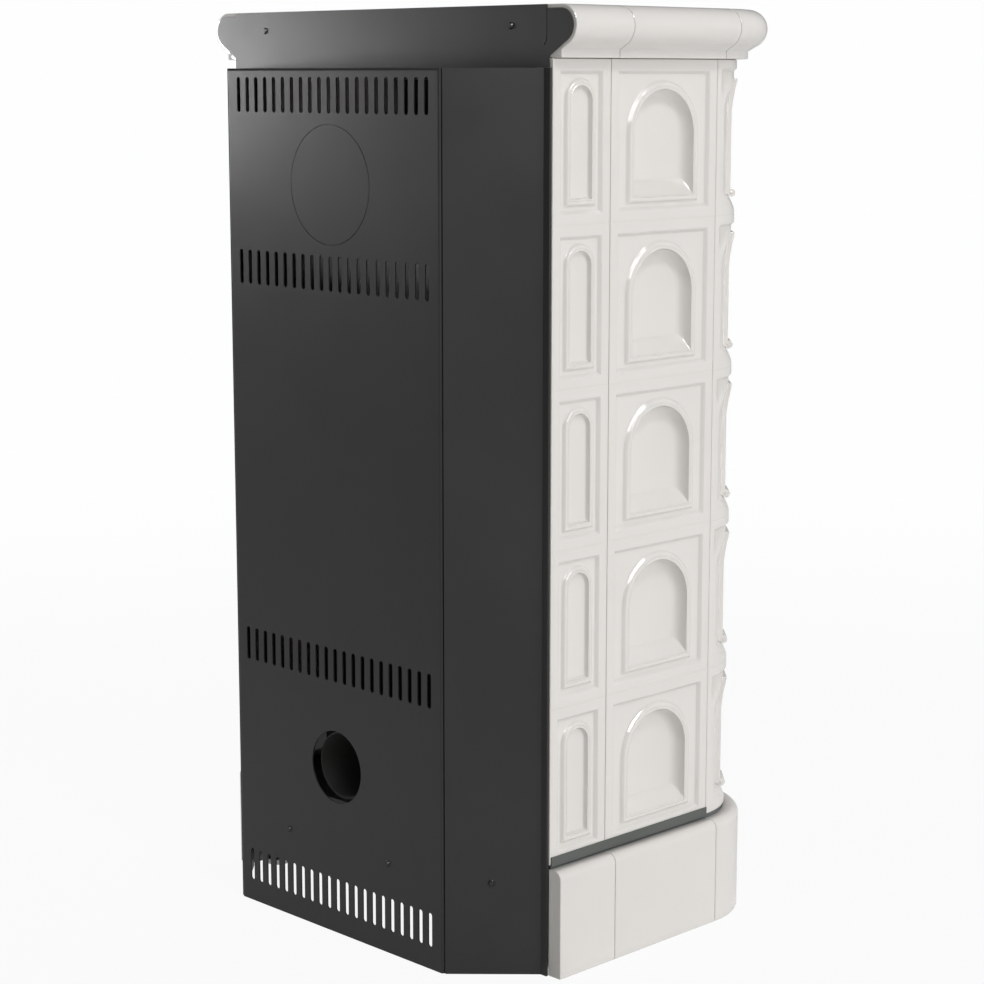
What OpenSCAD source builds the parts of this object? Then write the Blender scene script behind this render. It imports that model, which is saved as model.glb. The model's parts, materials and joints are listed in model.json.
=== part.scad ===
// Tiled corner stove: glazed tiles round a steel casing, with a firebox, a glass door and an ash drawer.
// Millimetres. +Z is up, the front faces -Y, and the origin is the middle of the footprint on the floor.

/* [Wall tiles] */
// Face width of a full tile
tile_w = 219; // [200:1:240]
// Face height of every wall tile
tile_h = 220; // [205:1:240]
// Face width of a half tile
half_w = 112; // [104:1:124]
// Depth of a flat tile from its face to the back of its collar
tile_t = 30; // [28:1:40]
// Width of the joints between tiles
joint = 1; // [0.6:0.1:1.6]
// Outer radius of the rounded corner tiles
corner_r = 114.5; // [108:0.5:124]
// Height of the underside of the lowest tiles
base_h = 162; // [156:1:180]

/* [Tile relief] */
// Width of the flat border of a tile
border_w = 15; // [11:1:16]
// Width of the slope inside the border
border_slope = 4.5; // [3:0.5:6]
// Depth of the field inside the border
field_d = 5; // [3:0.5:6]
// Half width of the niche of a full tile
niche_r = 61.5; // [56:0.5:64]
// Depth of the niche below the border
niche_d = 20; // [14:1:21]
// Width of the cove between the niche's rim and its back
cove_w = 11; // [8:1:13]
// Height at which the niche's arch starts
niche_spring = 118; // [112:1:122]
// Width of the moulding round the niche
niche_rib_w = 13.5; // [9:0.5:14]
// Height of the niche's sill at its rim
sill_z = 34; // [32:1:40]
// Rise of the sloping sill
sill_rise = 21; // [12:1:24]
// Half width of the panel inside a half tile's moulding
arch_r = 20.5; // [18:0.5:22]
// Width of the moulding on a half tile
arch_rib_w = 11; // [7:0.5:11]
// Height at which the half tile's arch starts
arch_spring = 164.5; // [158:0.5:168]
// Width of the scroll console on a corner tile
console_w = 50; // [40:1:60]
// Radius of the roll at the foot of the console
roll_r = 5.5; // [4:0.5:6.5]
// Thickness of the console where it stands proud of the sunk field
console_t = 5; // [3:0.5:6]
// Depth of the field on the middle of a corner tile
field_deep = 13; // [10:0.5:14]
// Depth of the neck under the block at the top of a corner tile
neck_d = 4.4; // [3:0.2:6]

/* [Plinth and cornice] */
// Height of the plinth tiles
plinth_h = 156; // [145:1:157]
// Distance from the wall tiles' face out to the plinth's face
plinth_out = 21.5; // [15:0.5:26]
// Thickness of the plinth tiles
plinth_t = 24; // [20:1:25]
// Radius of the plinth's top edge
plinth_round = 12; // [8:1:14]
// Height of the cornice
cornice_h = 69; // [66:1:76]
// Radius of the cornice's bull nose
nose_r = 27; // [24:0.5:30]
// Distance from the wall tiles' face to the fillet and the nose's centre
nose_out = 15.5; // [12:0.5:18]
// Height of the fillet under the nose
fillet_h = 10.5; // [8:0.5:12]
// Wall thickness of the cornice tiles
cornice_t = 12; // [10:1:13]
// Distance that the cornice reaches in behind the tiles' face
cornice_in = 28; // [24:1:30]

/* [Steel casing] */
// Thickness of the casing sheet
sheet = 2; // [1.5:0.25:2.5]
// Width of the rear panel
rear_w = 450; // [430:5:470]
// Distance from the ends of the side tiles back to the rear panel
rear_back = 101; // [95:1:110]
// Height of the rear panel
casing_h = 1254; // [1251:1:1260]
// Radius of the casing's bends
bend_r = 4; // [3.5:0.5:6]
// Depth of the rear panel's folded edges
fold_d = 16; // [12:1:20]
// Number of slots in a row
slot_n = 21; // [11:2:21]
// Distance from slot to slot
slot_pitch = 19.9; // [18:0.1:20.4]
// Width of a slot
slot_w = 8; // [6:0.5:9]
// Height of a slot
slot_h = 50; // [40:1:56]
// Height of the top of the lowest slots
slot_top_1 = 83; // [75:1:95]
// Height of the top of the slots above the air inlet
slot_top_2 = 430; // [400:1:460]
// Height of the top of the slots under the knock-out
slot_top_3 = 995; // [970:1:1000]
// Height of the top of the highest slots
slot_top_4 = 1242; // [1236:1:1244]
// Height of the casing screws at the base
screw_z = 134; // [130:1:146]
// Half the distance between the rear panel's screws
screw_x = 110; // [80:1:140]
// Half the distance between the cornice plate's screws
plate_screw_x = 258; // [240:1:270]
// Inset of the cornice plate's ears inside the cornice's outline
ear_inset = 5; // [3:0.5:7]

/* [Air and flue] */
// Height of the air inlet's axis
air_z = 253; // [245:1:260]
// Inner radius of the air inlet pipe
air_r = 48; // [38:0.5:50]
// Clearance round the air pipe's sleeve in the rear panel
air_gap = 4; // [3:0.5:6]
// Distance that the air inlet's mouth lies behind the rear panel
air_inset = 13; // [8:1:20]
// Height of the rear flue outlet's axis
flue_z = 1093.5; // [1085:0.5:1100]
// Inner radius of the flue collar
flue_r = 75.5; // [60:0.5:76]
// Radius of the knock-out in the rear panel
knock_r = 83.5; // [80:0.5:88]
// Distance from the firebox's middle back to the top flue's axis
flue_y = 88; // [60:1:92]

/* [Firebox] */
// Outer width of the firebox
box_w = 410; // [396:2:424]
// Wall thickness of the firebox
box_t = 4; // [3:0.5:5]
// Height of the firebox's underside
box_z = 386; // [386:1:387]
// Height of the top of the firebox
box_top = 1180; // [1176:1:1200]
// Distance from the tiles' front face to the firebox's front
box_in = 38; // [36:1:44]
// Outer depth of the firebox
box_d = 375; // [372:1:380]
// Thickness of the fire bricks
brick_t = 30; // [25:1:34]
// Height of the firebox's steel deck above its underside
deck_up = 80; // [78:1:82]
// Height of the brick lining above the deck
lining_h = 414; // [390:2:424]
// Width of the grate's opening in the deck
grate_w = 200; // [160:4:220]
// Depth of the grate's opening in the deck
grate_d = 180; // [160:4:200]

/* [Door and drawer] */
// Thickness of the door leaf
leaf_t = 18; // [17:1:20]
// Height of the door leaf
leaf_h = 342; // [338:1:343]
// Radius of the hinge pins
pin_r = 5; // [4:0.5:5.5]
// Clearance of a pin or spindle in its bore
fit_gap = 0.08; // [0.05:0.01:0.1]
// Clearance between faces that slide or swing past each other
slide_gap = 0.5; // [0.3:0.1:0.6]
// Width of the door's window
window_w = 290; // [260:2:294]
// Thickness of the door glass
glass_t = 5; // [4:0.5:5]
// Radius of the handle's spindle
spindle_r = 5; // [4:0.5:5.5]
// Length of the door handle
handle_len = 120; // [90:2:150]
// Width of the ash drawer's tray
drawer_w = 290; // [260:2:292]
// Depth of the ash drawer's tray
drawer_d = 295; // [250:5:310]
// Height of the ash drawer's tray
drawer_h = 60; // [45:1:62]
// Radius of the air rods
rod_r = 4; // [3:0.5:5]

/* [Hidden] */
$fn = 64;

// Colours of the materials
steel_black = [0.22, 0.22, 0.22];
steel_dark = [0.33, 0.34, 0.33];
steel_frame = [0.40, 0.41, 0.42];
glaze = [0.87, 0.855, 0.84];
plinth_glaze = [0.86, 0.845, 0.83];
chamotte = [0.80, 0.70, 0.52];
cast = [0.16, 0.16, 0.17];
bright = [0.72, 0.72, 0.73];
rope = [0.55, 0.54, 0.50];

// Seats and small sizes that several pieces share
seat = 0.3;
seam = 0.1;
eps = 0.5;
rows = 5;
pitch = tile_h + joint;
cornice_out = nose_out + nose_r;
wall_x = tile_w + 1.5 * joint + corner_r;
side_len = half_w + tile_w + 2 * joint + corner_r;
head_h = 2.6;
front_y = -(rear_back + head_h + side_len + cornice_out) / 2 + cornice_out;
end_y = front_y + side_len;
rear_y = end_y + rear_back;
corner_x = wall_x - corner_r;
corner_y = front_y + corner_r;
tiles_top = base_h + rows * pitch - joint;
cornice_z = tiles_top + joint;
top_z = cornice_z + cornice_h;
nose_z = cornice_h - nose_r;
function row_z(k) = base_h + k * pitch;

// Base frame
rail = 40;
rail_top = base_h - sheet;
rail_z = rail_top - rail;
rail_wall = 3;
rail_set = plinth_t - plinth_out + seat;
rail_out = wall_x - rail_set;
rail_in = rail_out - rail;
post = 25;
post_out = wall_x - tile_t - 2;
post_back = end_y - sheet - 2 * seat;

// Casing: the 45 degree panels run from the rear panel to the flange on the tiles' ends
chamfer = rear_back - 2 * sheet;
flange_x = wall_x - 2;
flange_in = rear_w / 2 + chamfer;
panel_mid = [-(rear_w + chamfer) / 2, rear_y - chamfer / 2];
cover_z = casing_h - sheet - seat;

// Firebox and what it carries
box_y0 = front_y + box_in;
box_y1 = box_y0 + box_d;
box_x = box_w / 2;
flue_mid = box_y0 + box_d / 2 + flue_y;
deck_z = box_z + deck_up;
deck_t = 4;
floor_z = deck_z + deck_t;
brick_top = floor_z + lining_h;
hearth_t = 25;
baffle_t = 25;
smoke_in = 0.3 * box_d;
turn_h = 0.24 * box_d;

// Door frame between the corner tiles, on the height of two rows of tiles
frame_x = tile_w + joint / 2 - 1;
frame_z0 = row_z(1);
frame_z1 = row_z(3) - joint;
frame_y = front_y + 12;
frame_t = 8;
lug_t = 6;
leaf_z0 = frame_z1 - lug_t - 5 - leaf_h;
leaf_z1 = leaf_z0 + leaf_h;
hinge_x = -(frame_x - leaf_t / 2 - slide_gap);
hinge_y = frame_y - slide_gap - leaf_t / 2;
leaf_x1 = frame_x - 12.5;
seal_w = 10;
seal_d = 4;
seal_x = leaf_x1 - 32;
seal_in = 14;
fire_x = seal_x - 9;
glass_lap = 13;
window_in = 36;
spindle_x = leaf_x1 - 10;
spindle_z = (leaf_z0 + leaf_z1) / 2;
grip_r = 7;
lever_y = front_y - cornice_out + grip_r + 0.5;
glass_seat = 6;
cam_len = 16;
cam_t = 5;
cam_y = frame_y - slide_gap - 12;
keeper_x = leaf_x1 + 2;
drawer_z = box_z + box_t + slide_gap;
drawer_front_t = 6;
drawer_front_z = frame_z0 + 4;
drawer_front_h = deck_z + 1 - drawer_front_z;
rod_x = box_x - 21;
rod_z = box_z + 20;
rod_len = 190;
damper_w = 34;
damper_d = 60;

module mirrored_pair() {
    children();
    mirror([1, 0, 0]) children();
}

// Prism with its outline in (y, z), running along +x
module along_x(len) {
    rotate([90, 0, 90]) linear_extrude(len) children();
}

// Prism with its outline in (x, z), running along +y
module along_y(len) {
    translate([0, len, 0]) rotate([90, 0, 0]) linear_extrude(len) children();
}

// Hole or shaft along +y from the point given
module bar_y(r, len) {
    rotate([-90, 0, 0]) cylinder(r = r, h = len);
}

// Square tube along +x, open at its ends
module tube_x(len) {
    difference() {
        cube([len, rail, rail]);
        translate([-1, rail_wall, rail_wall]) cube([len + 2, rail - 2 * rail_wall, rail - 2 * rail_wall]);
    }
}

// Square tube along +y, open at its ends
module tube_y(len) {
    difference() {
        cube([rail, len, rail]);
        translate([rail_wall, -1, rail_wall]) cube([rail - 2 * rail_wall, len + 2, rail - 2 * rail_wall]);
    }
}

// Outline of a moulding of width w: a distance t outwards from its rim, and a depth behind the tile's face.
// A rounded rim is followed by a quarter round that falls to the field.
rim_d = 1.2;
crest = 0.2;
function rib_outline(w) = concat([[0, field_d + eps], [0, rim_d], [0.4, 0.5], [1.2, 0.25]],
    [for (a = [0:15:90]) [w * (crest + (1 - crest) * sin(a)), field_d - (field_d - 0.25) * cos(a)]],
    [[w, field_d + eps]]);

// Field inside the border, with sloping sides that meet in mitres
module field_cut(w) {
    lead = border_slope / field_d;
    b0 = border_w - lead;
    b1 = border_w + border_slope;
    intersection() {
        linear_extrude(tile_h) polygon([[b0, -1], [w - b0, -1], [w - b1, field_d], [b1, field_d]]);
        along_x(w) polygon([[-1, b0], [field_d, b1], [field_d, tile_h - b1], [-1, tile_h - b0]]);
    }
}

// Moulding of an arch on legs, closed by a bar at the bottom with mitred corners. The bar is narrower than
// the legs by the share given.
module arch_rib(w, r, spring, foot, rib_w, share) {
    c = w / 2;
    z0 = foot - share * rib_w;
    outline = rib_outline(rib_w);
    translate([c, 0, spring]) rotate([-90, 0, 0]) rotate([0, 0, 180])
        rotate_extrude(angle = 180) polygon([for (p = outline) [r + p[0], p[1]]]);
    difference() {
        translate([0, 0, z0]) linear_extrude(spring - z0) for (s = [-1, 1])
            polygon([for (p = outline) [c + s * (r + p[0]), p[1]]]);
        bar_mitre(c, r, foot, rib_w, share);
    }
    intersection() {
        translate([c - r - rib_w, 0, 0]) along_x(2 * (r + rib_w))
            polygon([for (p = outline) [p[1], foot - share * p[0]]]);
        bar_mitre(c, r, foot, rib_w, share);
    }
}

// Region of the bottom bar between its two mitres
module bar_mitre(c, r, foot, rib_w, share) {
    z0 = foot - share * rib_w;
    translate([0, -1, 0]) along_y(field_d + 2)
        polygon([[c - r - rib_w, z0], [c + r + rib_w, z0], [c + r, foot], [c - r, foot]]);
}

// Niche: coved sides, round head and a sill that slopes down to the rim
module niche_cut() {
    c = tile_w / 2;
    side = concat([[niche_r, -1]],
        [for (a = [0:15:90]) [niche_r - cove_w * (1 - cos(a)), rim_d + (niche_d - rim_d) * sin(a)]]);
    translate([c, 0, niche_spring]) rotate([-90, 0, 0])
        rotate_extrude() polygon(concat([[0, -1]], side, [[0, niche_d]]));
    intersection() {
        translate([c, 0, 0]) linear_extrude(niche_spring)
            polygon(concat(side, [for (i = [len(side) - 1:-1:0]) [-side[i][0], side[i][1]]]));
        along_x(tile_w) polygon([[-1, sill_z], [rim_d, sill_z], [niche_d, sill_z + sill_rise],
            [niche_d, niche_spring], [-1, niche_spring]]);
    }
}

// Hollow behind a tile: a collar round the edge, and a block of clay behind the niche where there is one
module back_hollow(w, face, block_r) {
    collar = 12;
    difference() {
        translate([collar, face, collar]) cube([w - 2 * collar, tile_t, tile_h - 2 * collar]);
        if (block_r > 0) translate([w / 2 - block_r, 0, sill_z - 6])
            cube([2 * block_r, tile_t - 1, niche_spring + niche_r - sill_z + 12]);
    }
}

module full_tile() {
    difference() {
        cube([tile_w, tile_t, tile_h]);
        field_cut(tile_w);
        back_hollow(tile_w, 15, niche_r + 6);
        niche_cut();
    }
    arch_rib(tile_w, niche_r, niche_spring, sill_z, niche_rib_w, 0.74);
}

module half_tile() {
    foot = sill_z;
    difference() {
        cube([half_w, tile_t, tile_h]);
        field_cut(half_w);
        back_hollow(half_w, 16, 0);
        translate([half_w / 2 - arch_r, 0, foot]) cube([2 * arch_r, field_d + 2, arch_spring - foot]);
        translate([half_w / 2, 0, arch_spring]) bar_y(arch_r, field_d + 2);
    }
    arch_rib(half_w, arch_r, arch_spring, foot, arch_rib_w, 0.9);
}

// Corner tile: a quarter ring with a field sunk into it, a neck under its top block and a scroll console on
// its middle. It is drawn in the first quadrant about the ring's axis.
console_front = corner_r - field_deep + console_t;
roll_c = corner_r - 1.2 - roll_r;
roll_z = 34.5;
head_z = tile_h - 27;
swell_z = tile_h - 76;
field_half = 37;
field_sag = corner_r * (1 - cos(field_half)) - field_deep;
field_r = (pow(corner_r * sin(field_half), 2) + pow(field_sag, 2)) / (2 * field_sag);
field_axis = corner_r - field_deep - field_r;

// The field's floor has a flatter curve than the ring. It rises to the neck above, and to the block below.
module corner_field_cut() {
    reach = field_deep + 4;
    rise = field_deep - neck_d + 1;
    block_z0 = 9.5;
    block_z1 = roll_z - 3.5;
    foot = [for (i = [0:6]) let (t = i / 6)
        [field_r + (field_deep + 0.5) * (1 - t * t), block_z0 + (block_z1 - block_z0) * t]];
    curve = [for (i = [0:6]) let (t = i / 6) [field_r + rise * t * t, swell_z + (head_z - swell_z) * t]];
    rotate([0, 0, 45]) translate([field_axis, 0, 0]) rotate([0, 0, -30]) rotate_extrude(angle = 60)
        polygon(concat([[field_r + reach, block_z0]], foot, curve,
            [[field_r + rise, head_z + 5], [field_r + reach, head_z + 5]]));
}

// Neck under the top block, which fades out downwards beside the field
module corner_neck_cut() {
    low_z = head_z - 35;
    fade = [for (i = [0:4]) let (a = 180 * i / 4)
        [corner_r + 0.5 - (neck_d + 0.5) * (1 - cos(a)) / 2, low_z + 32 * i / 4]];
    rotate([0, 0, 9]) rotate_extrude(angle = 72)
        polygon(concat([[corner_r + 2, low_z]], fade,
            [[corner_r - neck_d, tile_h - 15], [corner_r + 2, tile_h - 13]]));
}

// The console's side outline: x is the distance from the ring's axis, y is up
module console_outline() {
    rise = corner_r - 0.5 - console_front;
    back = corner_r - 30;
    swell = [for (i = [0:8]) let (t = i / 8)
        [console_front + rise * pow(t, 1.6), swell_z + (head_z - 1.5 - swell_z) * t]];
    polygon(concat([[back, roll_z], [console_front, roll_z]], swell,
        [[corner_r - 1.2, head_z - 0.3], [corner_r - 3, head_z + 0.5], [back, head_z]]));
    translate([roll_c, roll_z]) circle(r = roll_r);
}

module corner_tile() {
    difference() {
        rotate_extrude(angle = 90) polygon([[corner_r - 34.5, 0], [corner_r, 0], [corner_r, tile_h],
            [corner_r - 34.5, tile_h]]);
        corner_field_cut();
        corner_neck_cut();
        rotate([0, 0, 8]) rotate_extrude(angle = 74) polygon([[corner_r - 36, 14], [corner_r - 26.5, 14],
            [corner_r - 26.5, tile_h - 14], [corner_r - 36, tile_h - 14]]);
    }
    rotate([0, 0, 45]) translate([0, console_w / 2, 0]) rotate([90, 0, 0])
        linear_extrude(console_w) console_outline();
    rotate([0, 0, 45]) translate([roll_c, console_w / 2 + 1.5, roll_z])
        rotate([90, 0, 0]) cylinder(r = roll_r * 0.45, h = console_w + 3);
}

// Left hand column of side tiles: local x runs from the casing to the front
module on_left_wall(from_end, z) {
    translate([-wall_x, end_y - from_end, z]) rotate([0, 0, -90]) children();
}

module at_left_corner(z) {
    translate([-corner_x, corner_y, z]) rotate([0, 0, 180]) children();
}

module half_tiles_left() {
    color(glaze) for (k = [0:rows - 1]) on_left_wall(0, row_z(k)) half_tile();
}

module half_tiles_right() {
    color(glaze) mirror([1, 0, 0]) half_tiles_left();
}

module full_tiles_left() {
    color(glaze) for (k = [0:rows - 1]) on_left_wall(half_w + joint, row_z(k)) full_tile();
}

module full_tiles_right() {
    color(glaze) mirror([1, 0, 0]) full_tiles_left();
}

module corner_tiles_left() {
    color(glaze) for (k = [0:rows - 1]) at_left_corner(row_z(k)) corner_tile();
}

module corner_tiles_right() {
    color(glaze) mirror([1, 0, 0]) corner_tiles_left();
}

// Front tiles: one row under the door and two above it
module front_tiles() {
    color(glaze) for (k = [0, 3, 4]) for (x = [-tile_w - joint / 2, joint / 2])
        translate([x, front_y, row_z(k)]) full_tile();
}

// Outline of the cornice: p is the distance out from the wall tiles' face, z is up
module cornice_outline() {
    inner_r = nose_r - cornice_t;
    tang = 60;
    difference() {
        union() {
            translate([nose_out, nose_z]) circle(r = nose_r);
            polygon([[-cornice_in, 0], [nose_out, 0], [nose_out, fillet_h],
                [nose_out + nose_r * cos(tang), nose_z - nose_r * sin(tang)], [nose_out, nose_z],
                [nose_out, cornice_h], [-cornice_in, cornice_h]]);
        }
        translate([nose_out, nose_z]) circle(r = inner_r);
        polygon([[-cornice_in - 1, cornice_t], [nose_out - cornice_t, cornice_t],
            [nose_out + inner_r * cos(50), nose_z - inner_r * sin(50)], [nose_out, nose_z],
            [nose_out, cornice_h - cornice_t], [-cornice_in - 1, cornice_h - cornice_t]]);
    }
}

// Outline of the plinth, in the same two directions
module plinth_outline() {
    in = plinth_out - plinth_t;
    translate([in, 0]) square([plinth_t, plinth_h - plinth_round]);
    translate([in, 0]) square([plinth_t - plinth_round, plinth_h]);
    translate([plinth_out - plinth_round, plinth_h - plinth_round]) circle(r = plinth_round);
}

// A run of moulding along the left wall, from y0 to y1, with its outline facing -x
module left_run(y0, y1) {
    translate([-wall_x, y1, 0]) mirror([1, 0, 0]) rotate([90, 0, 0]) linear_extrude(y1 - y0) children();
}

module corner_run() {
    at_left_corner(0) rotate_extrude(angle = 90) translate([corner_r, 0]) children();
}

// A run along the front, from x0 to x1, with its outline facing -y
module front_run(x0, x1) {
    translate([x0, front_y, 0]) rotate([90, 0, 90]) linear_extrude(x1 - x0) mirror([1, 0]) children();
}

side_cuts = [end_y, end_y - half_w - joint, corner_y + joint];

module plinth_side_tiles() {
    color(plinth_glaze) mirrored_pair() {
        left_run(side_cuts[1] + joint, side_cuts[0]) plinth_outline();
        left_run(side_cuts[2], side_cuts[1]) plinth_outline();
    }
}

module plinth_corner_tiles() {
    color(plinth_glaze) mirrored_pair() corner_run() plinth_outline();
}

module plinth_front_tiles() {
    color(plinth_glaze) mirrored_pair() front_run(-corner_x + joint, -joint / 2) plinth_outline();
}

module cornice_side_tiles() {
    color(glaze) translate([0, 0, cornice_z]) mirrored_pair() {
        left_run(side_cuts[1] + joint, end_y) cornice_outline();
        left_run(side_cuts[2], side_cuts[1]) cornice_outline();
    }
}

module cornice_corner_tiles() {
    color(glaze) translate([0, 0, cornice_z]) mirrored_pair() corner_run() cornice_outline();
}

module cornice_front_tiles() {
    color(glaze) translate([0, 0, cornice_z]) mirrored_pair()
        front_run(-corner_x + joint, -joint / 2) cornice_outline();
}

// Strips in the joints of the wall tiles, drawn back from the glazed face
module wall_plan(inset, back) {
    x = wall_x - inset;
    translate([-x, corner_y]) square([2 * x, end_y + back - corner_y]);
    translate([-corner_x, front_y + inset]) square([2 * corner_x, corner_y - front_y]);
    for (s = [-1, 1]) translate([s * corner_x, corner_y]) circle(r = corner_r - inset);
}

module joint_strips() {
    deep = 2;
    wide = 20;
    color(rope) {
        for (k = [1:rows]) translate([0, 0, row_z(k) - joint]) linear_extrude(joint) difference() {
            wall_plan(deep, 0);
            wall_plan(deep + wide, 1);
            if (k == 2) translate([-corner_x, front_y]) square([2 * corner_x, corner_r]);
        }
        mirrored_pair() {
            for (y = [corner_y, side_cuts[1]]) translate([wall_x - deep - wide, y, base_h])
                cube([wide, joint, tiles_top - base_h]);
            translate([corner_x - joint, front_y + deep, base_h]) cube([joint, wide, tiles_top - base_h]);
        }
        translate([-joint / 2, front_y + deep, base_h]) cube([joint, wide, tile_h]);
        translate([-joint / 2, front_y + deep, row_z(3)]) cube([joint, wide, tiles_top - row_z(3)]);
    }
}

// Dark angles that the tiles stand in: a foot under them and a lip over their lower edge
module ledge_outline() {
    lip = sheet + seat;
    polygon([[-tile_t, -sheet], [lip, -sheet], [lip, 11], [seat, 11], [seat, 0], [-tile_t, 0]]);
}

module ledge_angles() {
    color(steel_dark) translate([0, 0, base_h]) {
        mirrored_pair() left_run(corner_y + joint, end_y - 2) ledge_outline();
        front_run(-corner_x + joint, corner_x - joint) ledge_outline();
    }
}

// Rear panel: one tray of sheet with folded sides and top, rounded bends, slots, a hole and a knock-out
module panel_block(inset) {
    r = bend_r - inset;
    x = rear_w / 2 - inset;
    y = rear_y - inset;
    h = casing_h - inset;
    intersection() {
        translate([0, 0, -inset]) linear_extrude(h + inset) {
            translate([-x, y - fold_d]) square([2 * x, fold_d - r]);
            translate([-x + r, y - fold_d]) square([2 * (x - r), fold_d]);
            for (s = [-1, 1]) translate([s * (x - r), y - r]) circle(r = r);
        }
        translate([-x, 0, -inset]) along_x(2 * x) {
            translate([y - fold_d - 1, 0]) square([fold_d + 1, h + inset - r]);
            translate([y - fold_d - 1, 0]) square([fold_d + 1 - r, h + inset]);
            translate([y - r, h + inset - r]) circle(r = r);
        }
    }
}

module slot_row(top) {
    for (i = [0:slot_n - 1]) translate([(i - (slot_n - 1) / 2) * slot_pitch, top]) {
        translate([-slot_w / 2, slot_w / 2 - slot_h]) square([slot_w, slot_h - slot_w]);
        translate([0, -slot_w / 2]) circle(r = slot_w / 2);
        translate([0, slot_w / 2 - slot_h]) circle(r = slot_w / 2);
    }
}

// Knock-out: a scored ring, deeper than half the sheet
module knock_out_ring() {
    translate([0, rear_y - sheet * 0.6, flue_z]) difference() {
        bar_y(knock_r + 0.5, sheet);
        translate([0, -1, 0]) bar_y(knock_r - 0.5, sheet + 2);
    }
}

module rear_panel() {
    color(steel_black) difference() {
        panel_block(0);
        panel_block(sheet);
        translate([0, rear_y - sheet - 1, 0]) along_y(sheet + 2) {
            for (top = [slot_top_1, slot_top_2, slot_top_3, slot_top_4]) slot_row(top);
            translate([0, air_z]) circle(r = air_r + sheet + air_gap);
            for (s = [-1, 1]) translate([s * screw_x, screw_z]) circle(r = 2.7);
        }
        knock_out_ring();
    }
}

// A 45 degree panel in plan: the sheet, and the hemmed flange that lies on the tiles' ends
module chamfer_plan() {
    start = sheet + 0.4;
    step = sheet / sqrt(2);
    inner = flange_in + 2 * sheet - 2 * step - seat;
    polygon([[-(rear_w / 2 + start - step), rear_y - start - step], [-(rear_w / 2 + start), rear_y - start],
        [-flange_in, end_y + 2 * sheet], [-flange_x, end_y + 2 * sheet], [-flange_x, end_y + seat],
        [-inner, end_y + seat]]);
}

module corner_panel_left() {
    color(steel_black) difference() {
        linear_extrude(casing_h) chamfer_plan();
        translate([panel_mid[0], panel_mid[1], screw_z]) rotate([0, 0, 45]) translate([0, -10, 0])
            bar_y(2.7, 20);
    }
}

module corner_panel_right() {
    color(steel_black) mirror([1, 0, 0]) corner_panel_left();
}

// Plate behind the cornice: ears follow the cornice inside its outline, and the top is folded forward
module plate_outline() {
    r = nose_r - ear_inset;
    x = wall_x + nose_out;
    low = wall_x - 5.5;
    neck = 2.5;
    a = atan2(neck - nose_z, low - x) + acos(r / norm([low - x, neck - nose_z]));
    bottom = casing_h - cornice_z + seat;
    for (s = [-1, 1]) {
        translate([s * x, nose_z]) circle(r = r);
        polygon([[s * low, bottom], [s * low, neck], [s * (x + r * cos(a)), nose_z + r * sin(a)],
            [s * x, nose_z], [s * x, nose_z + r], [0, nose_z + r], [0, bottom]]);
    }
    translate([-fold_x, 0]) square([2 * fold_x, cornice_h]);
}
fold_x = wall_x - 9;
slit_w = 1.2;
slit_h = 46;

module cornice_plate() {
    slit_x = -fold_x;
    color(steel_black) translate([0, end_y + seat, cornice_z]) {
        difference() {
            along_y(sheet) plate_outline();
            translate([0, -1, 0]) along_y(sheet + 2) {
                for (s = [-1, 1]) translate([s * plate_screw_x, nose_z]) circle(r = 2.7);
                translate([slit_x, cornice_h - slit_h]) square([slit_w, slit_h + 1]);
                polygon([[slit_x, cornice_h - slit_h], [slit_x + slit_w, cornice_h - slit_h],
                    [slit_x + 6, cornice_h - slit_h - 6], [slit_x + 5, cornice_h - slit_h - 7]]);
            }
        }
        translate([-top_x + seat, -20, cornice_h - sheet]) cube([2 * (top_x - seat), 20, sheet]);
    }
}

// Cover over the step between the rear panel and the cornice plate
module rear_cover() {
    g = 2 * sheet;
    y0 = end_y - sheet;
    x = post_out - 1;
    fy = rear_y - fold_d - seat;
    fx = flange_in - g - (fy - end_y - 1);
    rx = rear_w / 2 - sheet - seat;
    color(steel_black) {
        translate([0, 0, cover_z - sheet]) linear_extrude(sheet)
            polygon([[-flange_in + g, end_y + 1], [-x, end_y + 1], [-x, y0], [x, y0], [x, end_y + 1],
                [flange_in - g, end_y + 1], [fx, fy], [rx, fy], [rx, rear_y - g], [-rx, rear_y - g],
                [-rx, fy], [-fx, fy]]);
        translate([-x, y0, cover_z - sheet]) cube([2 * x, sheet, 24]);
    }
}

// Top plate inside the cornice, with warm air slots and the way for the flue pipe
top_inset = cornice_in + 0.5;
top_x = wall_x - top_inset;
plate_top = top_z - sheet - seat;

module top_plate_plan() {
    r = corner_r - top_inset;
    y0 = front_y + top_inset;
    y1 = end_y;
    translate([-top_x, corner_y]) square([2 * top_x, y1 - corner_y]);
    translate([-corner_x, y0]) square([2 * corner_x, y1 - y0]);
    for (s = [-1, 1]) translate([s * corner_x, corner_y]) circle(r = r);
}

module top_plate() {
    n = 15;
    color(steel_black) difference() {
        translate([0, 0, plate_top - 3]) linear_extrude(3) top_plate_plan();
        translate([0, flue_mid, plate_top - 4]) cylinder(r = flue_r + 10, h = 5);
        for (i = [0:n - 1]) translate([(i - (n - 1) / 2) * 24 - 5, front_y + 50, plate_top - 4])
            cube([10, 70, 5]);
    }
}

// Screws: a low head outside the sheet and a shank through it
module screw() {
    rotate([90, 0, 0]) {
        cylinder(r = 2.5, h = 9);
        translate([0, 0, -head_h]) cylinder(r1 = 3.4, r2 = 5, h = head_h);
    }
}

module casing_screws() {
    color(cast) mirrored_pair() {
        translate([screw_x, rear_y, screw_z]) screw();
        translate([plate_screw_x, end_y + seat + sheet, cornice_z + nose_z]) screw();
        translate([panel_mid[0] - 0.05, panel_mid[1] + 0.05, screw_z]) rotate([0, 0, 45]) screw();
    }
}

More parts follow.
